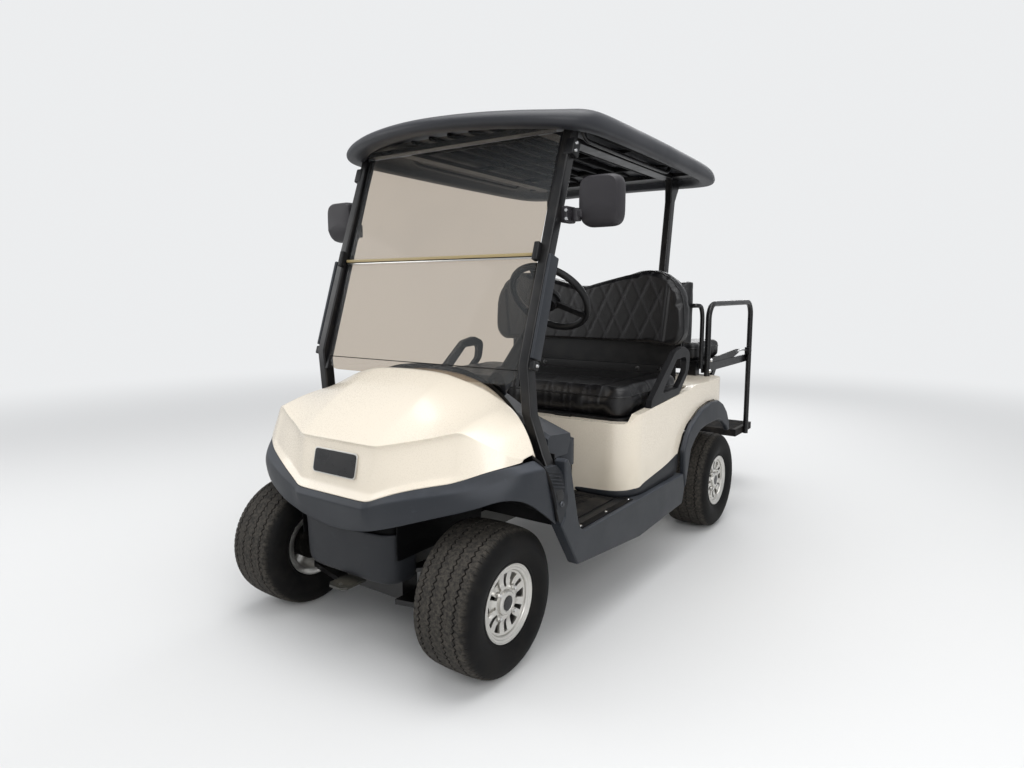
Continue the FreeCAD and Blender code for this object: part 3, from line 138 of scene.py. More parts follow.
class Signal:
    """A shader socket; arithmetic on it adds Math nodes to its graph."""

    def __init__(self, graph: Graph, socket: bpy.types.NodeSocket) -> None:
        """Keep the graph and the socket."""
        self.graph, self.socket = graph, socket

    def apply(self, operation: str, other: Signal | float = 0.0) -> Signal:
        """Any Math operation, such as ABSOLUTE or FRACT."""
        return self.graph.math(operation, self, other)

    def __add__(self, other: Signal | float) -> Signal:
        """Sum."""
        return self.apply("ADD", other)

    def __sub__(self, other: Signal | float) -> Signal:
        """Difference."""
        return self.apply("SUBTRACT", other)

    def __rsub__(self, other: float) -> Signal:
        """Difference from a number."""
        return self.graph.math("SUBTRACT", other, self)

    def __mul__(self, other: Signal | float) -> Signal:
        """Product."""
        return self.apply("MULTIPLY", other)

    def __truediv__(self, other: Signal | float) -> Signal:
        """Quotient."""
        return self.apply("DIVIDE", other)

    def ramp(self, low: float, high: float) -> Signal:
        """Smooth step that is 0 at low and 1 at high."""
        inputs = {"Value": self, "From Min": low, "From Max": high}
        return self.graph.node("ShaderNodeMapRange", {"interpolation_type": "SMOOTHSTEP"}, inputs)


class Graph:
    """The node tree of a material or of the world."""

    def __init__(self, owner: Material | bpy.types.World) -> None:
        """Empty the owner's tree."""
        owner.use_nodes = True
        self.tree = owner.node_tree
        self.tree.nodes.clear()

    def node(self, kind: str, settings: dict | None = None, inputs: dict | None = None,
             output: int | str = 0) -> Signal:
        """Add one node.

        Args:
            kind: the node's type.
            settings: its properties, set first.
            inputs: values or signals for its sockets, by name or number.
            output: the socket that is returned.

        Returns:
            The signal of the chosen output.
        """
        made = self.tree.nodes.new(kind)
        for key, value in (settings or {}).items():
            setattr(made, key, value)
        for key, value in (inputs or {}).items():
            if isinstance(value, Signal):
                self.tree.links.new(value.socket, made.inputs[key])
            else:
                made.inputs[key].default_value = value
        return Signal(self, made.outputs[output])

    def math(self, operation: str, *values: Signal | float) -> Signal:
        """One Math node on one to three values."""
        return self.node("ShaderNodeMath", {"operation": operation}, dict(enumerate(values)))

    def place(self) -> Signal:
        """Object coordinates, which are the cart's own frame."""
        return self.node("ShaderNodeTexCoord", output="Object")

    def axis(self, vector: Signal, index: int) -> Signal:
        """One component of a vector signal."""
        return self.node("ShaderNodeSeparateXYZ", inputs={0: vector}, output=index)

    def upward(self) -> Signal:
        """How far a surface faces up, from 0 to 1."""
        return self.axis(self.node("ShaderNodeTexCoord", output="Normal"), 2).ramp(0.1, 0.95)

    def noise(self, scale: float, detail: float = 3.0, rough: float = 0.55,
              stretch: Point | None = None) -> Signal:
        """Fractal noise from 0 to 1 on object coordinates, which stretch scales on each axis."""
        place = self.place()
        if stretch:
            place = self.node("ShaderNodeMapping", inputs={"Vector": place, "Scale": stretch})
        return self.node("ShaderNodeTexNoise", inputs={
            "Vector": place, "Scale": scale, "Detail": detail, "Roughness": rough})

    def blend(self, factor: Signal | float, first: Signal | tuple, second: Signal | tuple) -> Signal:
        """Colour mix, 0 giving the first colour and 1 the second."""
        return self.node("ShaderNodeMix", {"data_type": "RGBA"}, {0: factor, 6: first, 7: second}, 2)

    def bump(self, height: Signal, distance: float, strength: float = 1.0,
             below: Signal | None = None) -> Signal:
        """Normal of a height signal in metres, on top of another bump."""
        inputs = {"Height": height, "Distance": distance, "Strength": strength}
        if below is not None:
            inputs["Normal"] = below
        return self.node("ShaderNodeBump", inputs=inputs)

    def principled(self, inputs: dict) -> Signal:
        """A Principled shader."""
        return self.node("ShaderNodeBsdfPrincipled", inputs=inputs)

    def close(self, shader: Signal, kind: str = "ShaderNodeOutputMaterial") -> None:
        """Join the last shader to the tree's output."""
        self.tree.links.new(shader.socket, self.tree.nodes.new(kind).inputs["Surface"])


# ---- finishes ----


@dataclass(frozen=True)
class Finish:
    """What every finish has: a name, a colour and a mean roughness."""

    name: str
    colour: str
    roughness: float

    def shader(self, g: Graph) -> Signal:
        """The shader that ends the material's graph."""
        raise NotImplementedError

    def build(self) -> Material:
        """Make the material."""
        made = bpy.data.materials.new(self.name)
        g = Graph(made)
        g.close(self.shader(g))
        return made


@dataclass(frozen=True)
class Shell(Finish):
    """Gloss moulding with a clear top coat, faint orange peel and road dirt low down."""

    dirt: str = "b3a78f"
    dirt_top: float = 0.62

    def shader(self, g: Graph) -> Signal:
        """Colour, gloss and grain."""
        height = g.axis(g.place(), 2)
        cloud = g.noise(3.5, 4)
        low = (1.0 - height.ramp(self.dirt_top - 0.22, self.dirt_top)) * cloud.ramp(0.35, 0.75) * 0.35
        fine = g.noise(300, 2).ramp(0.2, 0.8) * 0.05
        colour = g.blend(cloud.ramp(0.3, 0.8) * 0.03 + fine, srgb(self.colour), srgb("d6cab5"))
        colour = g.blend(low, colour, srgb(self.dirt))
        return g.principled({
            "Base Color": colour,
            "Roughness": g.noise(2.2, 2).ramp(0.2, 0.8) * 0.03 + fine + self.roughness + low * 0.25,
            "Coat Weight": 0.35, "Coat Roughness": 0.08,
            "Normal": g.bump(g.noise(160, 1), 0.00004, 0.3)})


@dataclass(frozen=True)
class Moulding(Finish):
    """Matte grained plastic that the sun has paled on top."""

    faded: str = "7d8490"
    fade: float = 0.5
    grain: float = 900.0
    depth: float = 0.0002
    sheen: float = 0.35

    def shader(self, g: Graph) -> Signal:
        """Colour, gloss and grain."""
        cloud = g.noise(6, 5)
        worn = g.upward() * cloud.ramp(0.25, 0.75) * self.fade
        scuff = g.noise(1.0, 6, 0.7, (14, 60, 30)).ramp(0.62, 0.72) * 0.25
        colour = g.blend(worn, srgb(self.colour), srgb(self.faded))
        colour = g.blend(scuff * self.fade, colour, srgb(self.faded))
        return g.principled({
            "Base Color": colour, "Specular IOR Level": self.sheen,
            "Roughness": cloud.ramp(0.2, 0.8) * 0.12 + self.roughness - 0.06,
            "Normal": g.bump(g.noise(self.grain, 2), self.depth, 0.6)})


@dataclass(frozen=True)
class Coated(Finish):
    """Steel under powder coat or paint, a little dusty."""

    dust: str = "6a655c"
    dusty: float = 0.15

    def shader(self, g: Graph) -> Signal:
        """Colour, gloss and grain."""
        cloud = g.noise(14, 5)
        colour = g.blend((g.upward() * 0.6 + 0.4) * cloud.ramp(0.35, 0.8) * self.dusty,
                         srgb(self.colour), srgb(self.dust))
        return g.principled({
            "Base Color": colour,
            "Roughness": cloud.ramp(0.2, 0.8) * 0.16 + self.roughness - 0.08,
            "Specular IOR Level": 0.4, "Coat Weight": 0.05, "Coat Roughness": 0.3,
            "Normal": g.bump(g.noise(650, 2), 0.00015, 0.5)})


@dataclass(frozen=True)
class Metal(Finish):
    """Bare metal: alloy, chrome or dusty casting."""

    grime: str = "55504a"
    grimy: float = 0.2
    grain: float = 120.0
    depth: float = 0.00005

    def shader(self, g: Graph) -> Signal:
        """Colour, gloss and grain."""
        cloud = g.noise(22, 5)
        grime = cloud.ramp(0.45, 0.85) * self.grimy
        return g.principled({
            "Base Color": g.blend(grime, srgb(self.colour), srgb(self.grime)),
            "Metallic": 1.0 - grime * 0.8,
            "Roughness": cloud.ramp(0.2, 0.8) * 0.1 + self.roughness + grime * 0.3,
            "Normal": g.bump(g.noise(self.grain, 4), self.depth, 0.5)})


@dataclass(frozen=True)
class Rubber(Finish):
    """Worn rubber with road dust; a tyre's wear attribute greys its tread."""

    dust: str = "8a8276"
    dusty: float = 0.5
    worn: str = ""

    def shader(self, g: Graph) -> Signal:
        """Colour, gloss and grain."""
        cloud = g.noise(16, 6, 0.65)
        colour = g.blend(cloud.ramp(0.35, 0.75) * self.dusty, srgb(self.colour), srgb(self.dust))
        rough = cloud.ramp(0.2, 0.8) * 0.15 + self.roughness - 0.08
        if self.worn:
            wear = g.node("ShaderNodeAttribute", {"attribute_name": "wear"}, output="Fac")
            fine = g.noise(90, 5, 0.7)
            tread = g.blend(fine.ramp(0.3, 0.7) * 0.22, srgb(self.worn), srgb(self.dust))
            colour = g.blend(wear * (cloud.ramp(0.15, 0.6) * 0.2 + 0.75), colour, tread)
            rough = rough + wear * 0.12
        return g.principled({
            "Base Color": colour, "Roughness": rough, "Specular IOR Level": 0.14,
            "Normal": g.bump(g.noise(240, 4), 0.0003, 0.5)})


@dataclass(frozen=True)
class Quilt:
    """Elongated diamonds sewn into one panel of a cushion.

    Args:
        across: index of the axis that the panel is wide on.
        along: index of the axis that the diamonds are long on.
        width: width of a diamond.
        length: length of a diamond.
        half: half width of the panel.
        start: where the panel starts along the long axis.
        end: where it ends.
        facing: direction that the sewn skin faces.
        depth: how far the stitches pull in.
    """

    across: int
    along: int
    width: float
    length: float
    half: float
    start: float
    end: float
    facing: Point
    depth: float = 0.0016

    def dent(self, place: Vector, normal: Vector) -> float:
        """How far the skin is pulled in at a place."""
        u, v = place[self.across], place[self.along]
        face = max(0.0, normal.dot(Vector(self.facing)) - 0.25) / 0.75
        if face == 0.0 or abs(u) > self.half or not self.start < v < self.end:
            return 0.0
        total = 0.0
        for sign in (1, -1):
            phase = u / self.width + sign * (v - self.start) / self.length
            gap = abs(phase - round(phase)) * self.width
            total = max(total, math.exp(-(gap / 0.0065) ** 2))
        return total * self.depth * min(1.0, face * 2)


# Sewn panels by cushion
QUILTS: dict[str, Quilt] = {
    "front_seat": Quilt(0, 1, 0.088, 0.20, 0.400, 0.60, 1.0, (0, -0.6, 0.8)),
    "front_backrest": Quilt(0, 2, 0.088, 0.17, 0.415, 0.86, 1.26, (0, -1, 0)),
    "rear_cushion": Quilt(0, 1, 0.088, 0.20, 0.355, 1.72, 2.04, (0, 0.3, 0.95)),
    "rear_backrest": Quilt(0, 2, 0.088, 0.17, 0.355, 0.90, 1.18, (0, 1, 0)),
}


@dataclass(frozen=True)
class Vinyl(Finish):
    """Black seat vinyl with diamond stitching and a fine leather grain."""

    quilt: str = ""
    thread: str = "3b3a3e"
    thread_gap: float = 0.0030
    stitch: float = 0.007

    def threads(self, g: Graph) -> Signal:
        """Mask of the double rows of stitches along the sewn diamonds."""
        panel = QUILTS[self.quilt]
        place = g.place()
        along = g.axis(place, panel.along) - (AXLE_Y if panel.along == 1 else 0.0)
        across = g.axis(place, panel.across)
        inside = (1.0 - across.apply("ABSOLUTE").ramp(panel.half - 0.004, panel.half))
        inside = inside * along.ramp(panel.start, panel.start + 0.004)
        inside = inside * (1.0 - along.ramp(panel.end - 0.004, panel.end))
        dashes = (along / self.stitch).apply("FRACT").ramp(0.2, 0.35)
        rows = None
        for sign in (1.0, -1.0):
            phase = across / panel.width + (along - panel.start) * (sign / panel.length)
            gap = ((phase + 0.5).apply("FRACT") - 0.5).apply("ABSOLUTE") * panel.width
            row = 1.0 - (gap - self.thread_gap).apply("ABSOLUTE").ramp(0.0005, 0.0013)
            rows = row if rows is None else rows.apply("MAXIMUM", row)
        return rows * dashes * inside

    def shader(self, g: Graph) -> Signal:
        """Colour, gloss and grain."""
        grain = g.node("ShaderNodeTexVoronoi", {"feature": "DISTANCE_TO_EDGE"},
                       {"Vector": g.place(), "Scale": 520.0})
        cloud = g.noise(8, 5)
        creases = g.noise(1.0, 5, 0.6, (9, 24, 18))
        colour = g.blend(g.upward() * cloud.ramp(0.3, 0.8) * 0.3, srgb(self.colour), srgb("222224"))
        normal = g.bump(creases, 0.0015, 0.2)
        height = grain.ramp(0.0, 0.25)
        if self.quilt:
            threads = self.threads(g)
            colour = g.blend(threads * 0.75, colour, srgb(self.thread))
            height = height + threads * 2.0
        return g.principled({
            "Base Color": colour,
            "Roughness": cloud.ramp(0.2, 0.8) * 0.14 + self.roughness - 0.07,
            "Normal": g.bump(height, 0.00018, 0.45, normal)})


@dataclass(frozen=True)
class Pane(Finish):
    """Tinted acrylic sheet: each of its two faces filters what is behind it and adds a little gloss, with a lit
    grey-blue veil that is painted reflection.
    """

    tint: str = "eae3da"
    # Share of the sheet, whose gloss is real and whose grey-blue colour is painted reflection
    gloss: float = 0.11

    def shader(self, g: Graph) -> Signal:
        """Colour, gloss and grain."""
        haze = g.noise(3, 3).ramp(0.4, 0.85)
        # The sheet's grey-blue base colour is painted reflection; only its specular is real gloss
        sheet = g.principled({"Base Color": srgb(self.colour), "Roughness": haze * 0.04 + self.roughness})
        clear = g.node("ShaderNodeBsdfTransparent", inputs={"Color": srgb(self.tint)})
        return g.node("ShaderNodeMixShader", inputs={0: haze * 0.03 + self.gloss, 1: clear, 2: sheet})


# Every finish of the cart
FINISHES: dict[str, Finish] = {finish.name: finish for finish in (
    Shell("cream_gloss", "e6dccb", 0.24),
    Moulding("slate_plastic", "272a2f", 0.5, faded="545860"),
    Moulding("slate_dark", "1d1f23", 0.55, faded="3c3f45", fade=0.5),
    Moulding("roof_plastic", "2c2d31", 0.46, faded="4a4b50", fade=0.4, grain=500, depth=0.0004),
    # Near-black plastic whose darkness is painted shade where shade falls: under the roof, behind the valance
    # and over the front wheels
    Moulding("under_plastic", "070708", 0.6, faded="101011", fade=0.1, sheen=0.1),
    Moulding("mirror_plastic", "2a282b", 0.5, faded="4a474b", fade=0.3),
    Moulding("black_plastic", "0d0d0f", 0.48, faded="232325", fade=0.4),
    Coated("black_steel", "0b0b0d", 0.34),
    Coated("cap_black", "121214", 0.28, dusty=0.05),
    Coated("frame_paint", "33332f", 0.5, dust="6b6456", dusty=0.4),
    Metal("cast_iron", "2c2b29", 0.6, grimy=0.6, grain=300, depth=0.0004),
    Metal("alloy", "cfcdc8", 0.27, grimy=0.18),
    Metal("chrome", "dcdcdc", 0.12, grimy=0.12),
    Metal("zinc", "5c5e62", 0.45, grimy=0.5),
    Metal("mirror_glass", "e4e6e8", 0.02, grimy=0.02),
    Moulding("tan_strip", "a29169", 0.4, faded="b0a485", fade=0.3),
    Rubber("tyre_rubber", "0a0a0b", 0.66, dusty=0.03, worn="262524"),
    Rubber("mat_rubber", "111113", 0.7, dusty=0.12),
    Rubber("trim_rubber", "0b0b0d", 0.62, dusty=0.05),
    Vinyl("seat_quilt", "0c0b0d", 0.36, quilt="front_seat"),
    Vinyl("back_quilt", "0c0b0d", 0.4, quilt="front_backrest"),
    Vinyl("rear_seat_quilt", "0e0e10", 0.42, quilt="rear_cushion"),
    Vinyl("rear_back_quilt", "0e0e10", 0.42, quilt="rear_backrest"),
    Vinyl("welt_vinyl", "0a0a0c", 0.34),
    # Its grey-blue colour is the sheet's painted reflection
    Pane("bronze_pane", "7c8288", 0.04),
    Moulding("battery_case", "1c1d20", 0.55, faded="4a4740", fade=0.5),
)}


@dataclass
class Palette:
    """The materials, each made when it is first asked for."""

    made: dict[str, Material] = field(default_factory=dict)

    def get(self, name: str) -> Material:
        """Return the material of that finish."""
        if name not in self.made:
            self.made[name] = FINISHES[name].build()
        return self.made[name]


# ---- pieces ----


@dataclass
class Workshop:
    """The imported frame, the palette and what every sub-assembly does with a finished mesh."""

    frame: dict
    palette: Palette = field(default_factory=Palette)
    node_body: dict[str, str] = field(default_factory=dict)
    node_slot: dict[str, str] = field(default_factory=dict)
    count: int = 0

    def __post_init__(self) -> None:
        """Read which body and which slot each node has."""
        for body, nodes in self.frame["record"]["behaviour"]["bodies"].items():
            self.node_body.update(dict.fromkeys(nodes, body))
        for row in self.frame["record"]["subparts"]:
            self.node_slot[row["node"]] = row["material_slot"]

    def seat(self, piece: Piece, node: str, finish: str, stands_for: Sequence[str] = (),
             slot: str | None = None, second: str | None = None) -> Piece:
        """Give a piece its finish and its place on the cart.

        Args:
            piece: the finished object, at the origin.
            node: the solid whose body it rides on.
            finish: name of its finish.
            stands_for: solids that it replaces.
            slot: not used.
            second: finish of the faces with material number 1.

        Returns:
            The same object.
        """
        piece.data.materials.clear()
        piece.data.materials.append(self.palette.get(finish))
        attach(piece, self.node_body[node])
        if stands_for:
            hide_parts(*stands_for)
        slot or self.node_slot[node]
        if second:
            piece.data.materials.append(self.palette.get(second))
        self.count += 1
        LOG.info("%s: %d vertices on %s", piece.name, len(piece.data.vertices), self.node_body[node])
        return piece

    def fit(self, parts: Iterable[Mesh], name: str, node: str, finish: str, crease: float = CREASE) -> Piece:
        """Join small parts into one piece and seat it beside its solid."""
        return self.seat(finished(joined(parts), name, crease), node, finish)


def finished(bm: Mesh, name: str, crease: float = CREASE, moved: bool = True) -> Piece:
    """Turn a bmesh into an object at the origin.

    Args:
        bm: the mesh, freed here.
        name: the object's name.
        crease: edges sharper than this many degrees stay sharp.
        moved: whether y is still read from the front axle.

    Returns:
        The object, linked to the scene.
    """
    if moved:
        bmesh.ops.translate(bm, verts=bm.verts, vec=(0, AXLE_Y, 0))
    limit = math.radians(crease)
    for edge in bm.edges:
        edge.smooth = len(edge.link_faces) != 2 or edge.calc_face_angle(0.0) < limit
    for face in bm.faces:
        face.smooth = True
    mesh = bpy.data.meshes.new(name)
    bm.to_mesh(mesh)
    bm.free()
    piece = bpy.data.objects.new(name, mesh)
    bpy.context.scene.collection.objects.link(piece)
    return piece


def bevelled(piece: Piece, width: float, segments: int = 2, angle: float = CREASE) -> Piece:
    """Add a bevel modifier that rounds the sharp edges."""
    made = piece.modifiers.new("round_edges", "BEVEL")
    made.width, made.segments, made.limit_method = width, segments, "ANGLE"
    made.angle_limit = math.radians(angle)
    made.harden_normals = True
    return piece


def subdivided(piece: Piece, levels: int) -> Piece:
    """Add a subdivision surface."""
    made = piece.modifiers.new("smooth_form", "SUBSURF")
    made.levels = made.render_levels = levels
    return piece


def walled(piece: Piece, thickness: float, inner: int = 0) -> Piece:
    """Give a sheet its thickness inwards; inner is how far the inside's material number moves."""
    made = piece.modifiers.new("wall", "SOLIDIFY")
    made.thickness, made.offset = thickness, -1.0
    made.use_even_offset = True
    made.material_offset = inner
    return piece


def skin(bm: Mesh, name: str, levels: int, wall: float, inner: int = 0) -> Piece:
    """A smooth moulded sheet: subdivided that often, with a wall to its inside."""
    return walled(subdivided(finished(bm, name, SMOOTH), levels), wall, inner)


# ---- shared forms ----


def copied(mesh: bpy.types.Mesh, drop: bool = False) -> Mesh:
    """Read mesh data into a bmesh, and remove the data if it was only a step."""
    bm = bmesh.new()
    bm.from_mesh(mesh)
    if drop:
        bpy.data.meshes.remove(mesh)
    return bm


def of_kind(kind: type, items: Iterable) -> list:
    """The vertices, edges or faces among some items."""
    return [item for item in items if isinstance(item, kind)]


def closed_up(bm: Mesh) -> Mesh:
    """Merge the vertices that a seam or a pole doubles, and turn all faces outwards."""
    bmesh.ops.remove_doubles(bm, verts=bm.verts, dist=SAME)
    bmesh.ops.recalc_face_normals(bm, faces=bm.faces)
    return bm


def faced(bm: Mesh, outward: Point) -> Mesh:
    """Turn a sheet's faces round unless they look in a direction as a whole."""
    bm.normal_update()
    total = sum((face.normal * face.calc_area() for face in bm.faces), Vector())
    if total.dot(Vector(outward)) < 0:
        bmesh.ops.reverse_faces(bm, faces=bm.faces)
    return bm


def sided(bm: Mesh, side: Side) -> Mesh:
    """Mirror a left part across x = 0 if it is for the right side."""
    if side is Side.RIGHT:
        bmesh.ops.scale(bm, verts=bm.verts, vec=(-1, 1, 1))
        bmesh.ops.reverse_faces(bm, faces=bm.faces)
    return bm


def joined(parts: Iterable[Mesh]) -> Mesh:
    """Put several meshes into one and free them."""
    whole = bmesh.new()
    for part in parts:
        mesh = bpy.data.meshes.new("part")
        part.to_mesh(mesh)
        part.free()
        whole.from_mesh(mesh)
        bpy.data.meshes.remove(mesh)
    return whole


def chain(bm: Mesh, points: Sequence[Point], closed: bool = False) -> list:
    """Add a run of vertices and edges.

    Args:
        bm: the mesh that gets them.
        points: the places, in order.
        closed: whether the last one joins the first.

    Returns:
        The vertices and edges together.
    """
    verts = [bm.verts.new(point) for point in points]
    pairs = list(zip(verts, verts[1:])) + ([(verts[-1], verts[0])] if closed else [])
    return verts + [bm.edges.new(pair) for pair in pairs]


def turned(bm: Mesh, geometry: list, steps: int) -> Mesh:
    """Spin a run a full turn about x, and close its seam and poles."""
    bmesh.ops.spin(bm, geom=geometry, cent=(0, 0, 0), axis=(1, 0, 0), angle=math.tau, steps=steps,
                   use_merge=True)
    return closed_up(bm)


def draped(columns: Columns, outward: Point) -> Mesh:
    """A grid laid through columns of points.

    Args:
        columns: places of the vertices, one list for each column.
        outward: a direction that the middle of the sheet faces.

    Returns:
        The sheet.
    """
    bm = bmesh.new()
    bmesh.ops.create_grid(bm, x_segments=len(columns) - 1, y_segments=len(columns[0]) - 1, size=1.0)
    ordered = sorted(bm.verts, key=lambda vert: (round(vert.co.x, 4), round(vert.co.y, 4)))
    for vert, point in zip(ordered, [point for column in columns for point in column]):
        vert.co = point
    return faced(bm, outward)


def wrapped(columns: Columns) -> Mesh:
    """A closed shell laid through columns of points that share their first and last point."""
    return closed_up(draped([*columns, columns[0]], (0, 0, 1)))


def mirrored_columns(columns: Columns) -> list[list[Point]]:
    """Columns of the left half, from the middle outwards, made into columns of both halves."""
    right = [[(-x, y, z) for x, y, z in column] for column in reversed(columns) if column[0][0] > SAME]
    return right + [list(column) for column in columns]


def spot(point: Iterable[float]) -> tuple[float, ...]:
    """A place in hundredths of a millimetre, to tell whether two places are the same."""
    return tuple(round(value, 5) for value in point)


def creased(bm: Mesh, run: Iterable[Point], strength: float) -> None:
    """Sharpen the edges between a run's points for the subdivision."""
    layer = bm.edges.layers.float.get("crease_edge") or bm.edges.layers.float.new("crease_edge")
    marks = {spot(point) for point in run}
    for edge in bm.edges:
        if all(spot(vert.co) in marks for vert in edge.verts):
            edge[layer] = strength


def creased_rows(bm: Mesh, columns: Columns, strengths: dict[int, float]) -> None:
    """Sharpen whole rows of a draped sheet, each as much as its number says."""
    for number, strength in strengths.items():
        creased(bm, [column[number] for column in columns], strength)


def block(size: Point, centre: Point, rounding: float, turn: Matrix | None = None, segments: int = 3) -> Mesh:
    """A box with rounded edges.

    Args:
        size: its lengths along x, y and z.
        centre: its middle.
        rounding: radius of the edges.
        turn: rotation about its middle.
        segments: steps of the rounding.

    Returns:
        The mesh.
    """
    bm = bmesh.new()
    bmesh.ops.create_cube(bm, size=1.0)
    bmesh.ops.scale(bm, verts=bm.verts, vec=size)
    bmesh.ops.bevel(bm, geom=bm.edges[:], offset=rounding, offset_type="OFFSET", affect="EDGES",
                    segments=segments, profile=0.5, material=-1)
    if turn is not None:
        bmesh.ops.transform(bm, matrix=turn.to_4x4(), verts=bm.verts)
    bmesh.ops.translate(bm, verts=bm.verts, vec=centre)
    return bm


def slab_of(outline: Sequence[Pair], x0: float, x1: float) -> Mesh:
    """A flat plate with a side outline of (y, z) points, from x0 to x1."""
    bm = bmesh.new()
    made = chain(bm, [(x0, y, z) for y, z in outline], closed=True)
    bmesh.ops.contextual_create(bm, geom=of_kind(bmesh.types.BMEdge, made))
    side = bmesh.ops.extrude_face_region(bm, geom=bm.faces[:])["geom"]
    bmesh.ops.translate(bm, verts=of_kind(bmesh.types.BMVert, side), vec=(x1 - x0, 0, 0))
    bmesh.ops.recalc_face_normals(bm, faces=bm.faces)
    return bm


def disc_head(radius: float, height: float, centre: Point, facing: Point, sides: int = 20,
              taper: float = 0.82) -> Mesh:
    """A bolt head, nut or button: a short cone that faces a direction.

    Args:
        radius: radius at its foot.
        height: how far it stands out.
        centre: middle of its foot.
        facing: direction it points.
        sides: 6 for a nut, more for a round head.
        taper: radius of its top as a share of the foot's.

    Returns:
        The mesh.
    """
    bm = bmesh.new()
    bmesh.ops.create_cone(bm, cap_ends=True, segments=sides, radius1=radius, radius2=radius * taper,
                          depth=height)
    bmesh.ops.translate(bm, verts=bm.verts, vec=(0, 0, height / 2))
    turn = Vector((0, 0, 1)).rotation_difference(Vector(facing)).to_matrix()
    bmesh.ops.transform(bm, matrix=turn.to_4x4(), verts=bm.verts)
    bmesh.ops.translate(bm, verts=bm.verts, vec=centre)
    return bm


def tube(points: Sequence[Point], radius: float, closed: bool = False, sides: int = 3) -> Mesh:
    """A round bar or cord along points.

    Args:
        points: its middle line.
        radius: its radius.
        closed: whether it is a loop.
        sides: roundness of its section.

    Returns:
        The mesh.
    """
    curve = bpy.data.curves.new("line", "CURVE")
    curve.dimensions = "3D"
    curve.bevel_depth, curve.bevel_resolution, curve.use_fill_caps = radius, sides, True
    spline = curve.splines.new("POLY")
    spline.points.add(len(points) - 1)
    for mark, point in zip(spline.points, points):
        mark.co = (*point, 1)
    spline.use_cyclic_u = closed
    shaper = bpy.data.objects.new("line", curve)
    bpy.context.scene.collection.objects.link(shaper)
    bpy.context.view_layer.update()
    mesh = bpy.data.meshes.new_from_object(shaper)
    bpy.data.objects.remove(shaper)
    bpy.data.curves.remove(curve)
    return copied(mesh, drop=True)


def mirrored_bars(points: Sequence[Point], radius: float, rounds: int = 3) -> Mesh:
    """A round bar through points, and its mirror image.

    Args:
        points: corners of its middle line on the left side, with y from the front axle.
        radius: its radius.
        rounds: how often the corners are cut; the ends are kept.

    Returns:
        Both bars as one mesh.
    """
    bars = []
    for side in Side:
        run = [Vector((x * side.value, y, z)) for x, y, z in points]
        for _ in range(rounds):
            cut = [corner for first, second in zip(run, run[1:])
                   for corner in (first.lerp(second, 0.25), first.lerp(second, 0.75))]
            run = [run[0], *cut, run[-1]]
        bars.append(tube(run, radius, sides=4))
    return joined(bars)


# ---- wheels ----

# Half outline of a tyre from the tread's middle to the bead. Columns: offset along the axle, radius,
# share of the zigzag, share of the shoulder notch, wear
TYRE_OUTLINE: Rows = (
    (0.0, 0.2280, 0, 0, 1.0), (0.0196, 0.2277, 1, 0, 1.0), (0.0212, 0.2230, 1, 0, 0.0),
    (0.0236, 0.2230, 1, 0, 0.0), (0.0252, 0.2276, 1, 0, 1.0), (0.0420, 0.2270, 0, 0, 1.0),
    (0.0600, 0.2258, 1, 0, 1.0), (0.0616, 0.2208, 1, 0, 0.0), (0.0644, 0.2206, 1, 0, 0.0),
    (0.0660, 0.2250, 1, 0, 1.0), (0.0800, 0.2230, 0, 0.0, 1.0), (0.0868, 0.2206, 0, 1, 0.9),
    (0.0912, 0.2165, 0, 1, 0.4), (0.0960, 0.2105, 0, 0.1, 0.06), (0.1012, 0.2030, 0, 0, 0.0),
    (0.1045, 0.1950, 0, 0, 0.0), (0.1074, 0.1820, 0, 0, 0.0), (0.1080, 0.1700, 0, 0, 0.0),
    (0.1062, 0.1570, 0, 0, 0.0), (0.1018, 0.1430, 0, 0, 0.0), (0.0972, 0.1330, 0, 0, 0.0),
    (0.0950, 0.1290, 0, 0, 0.0), (0.0955, 0.1260, 0, 0, 0.0), (0.0925, 0.1215, 0, 0, 0.0),
    (0.0866, 0.1197, 0, 0, 0.0), (0.0866, 0.1014, 0, 0, 0.0),
)

# Closed outline of a wheel's barrel with its stepped lip. Columns: offset along the axle, radius
BARREL: Rows = (
    (0.0930, 0.1190), (0.0930, 0.1168), (0.0908, 0.1142), (0.0902, 0.1085), (0.0880, 0.1060),
    (0.0876, 0.1004), (0.0850, 0.0978), (0.0800, 0.0966), (0.0790, 0.0950), (-0.0850, 0.0950),
    (-0.0930, 0.1130), (-0.0930, 0.1190), (-0.0870, 0.1190), (-0.0870, 0.1010), (0.0870, 0.1010),
    (0.0870, 0.1190),
)

# Outline of the spoked face from the hub to the barrel. Columns: offset along the axle, radius
SPOKED_FACE: Rows = (
    (0.0740, 0.0300), (0.0775, 0.0390), (0.0790, 0.0440), (0.0785, 0.0500), (0.0765, 0.0560),
    (0.0750, 0.0610), (0.0748, 0.0680), (0.0755, 0.0750), (0.0768, 0.0820), (0.0785, 0.0900),
    (0.0800, 0.0960),
)

# Outlines of the raised hub and of its dark cap, which end on the axis
HUB_DOME: Rows = (
    (0.0740, 0.0385), (0.0800, 0.0382), (0.0845, 0.0362), (0.0872, 0.0325), (0.0880, 0.0270),
    (0.0876, 0.0240), (0.0862, 0.0232), (0.0858, 0.0),
)
HUB_BADGE: Rows = ((0.0850, 0.0226), (0.0872, 0.0222), (0.0880, 0.0190), (0.0884, 0.0100), (0.0885, 0.0))


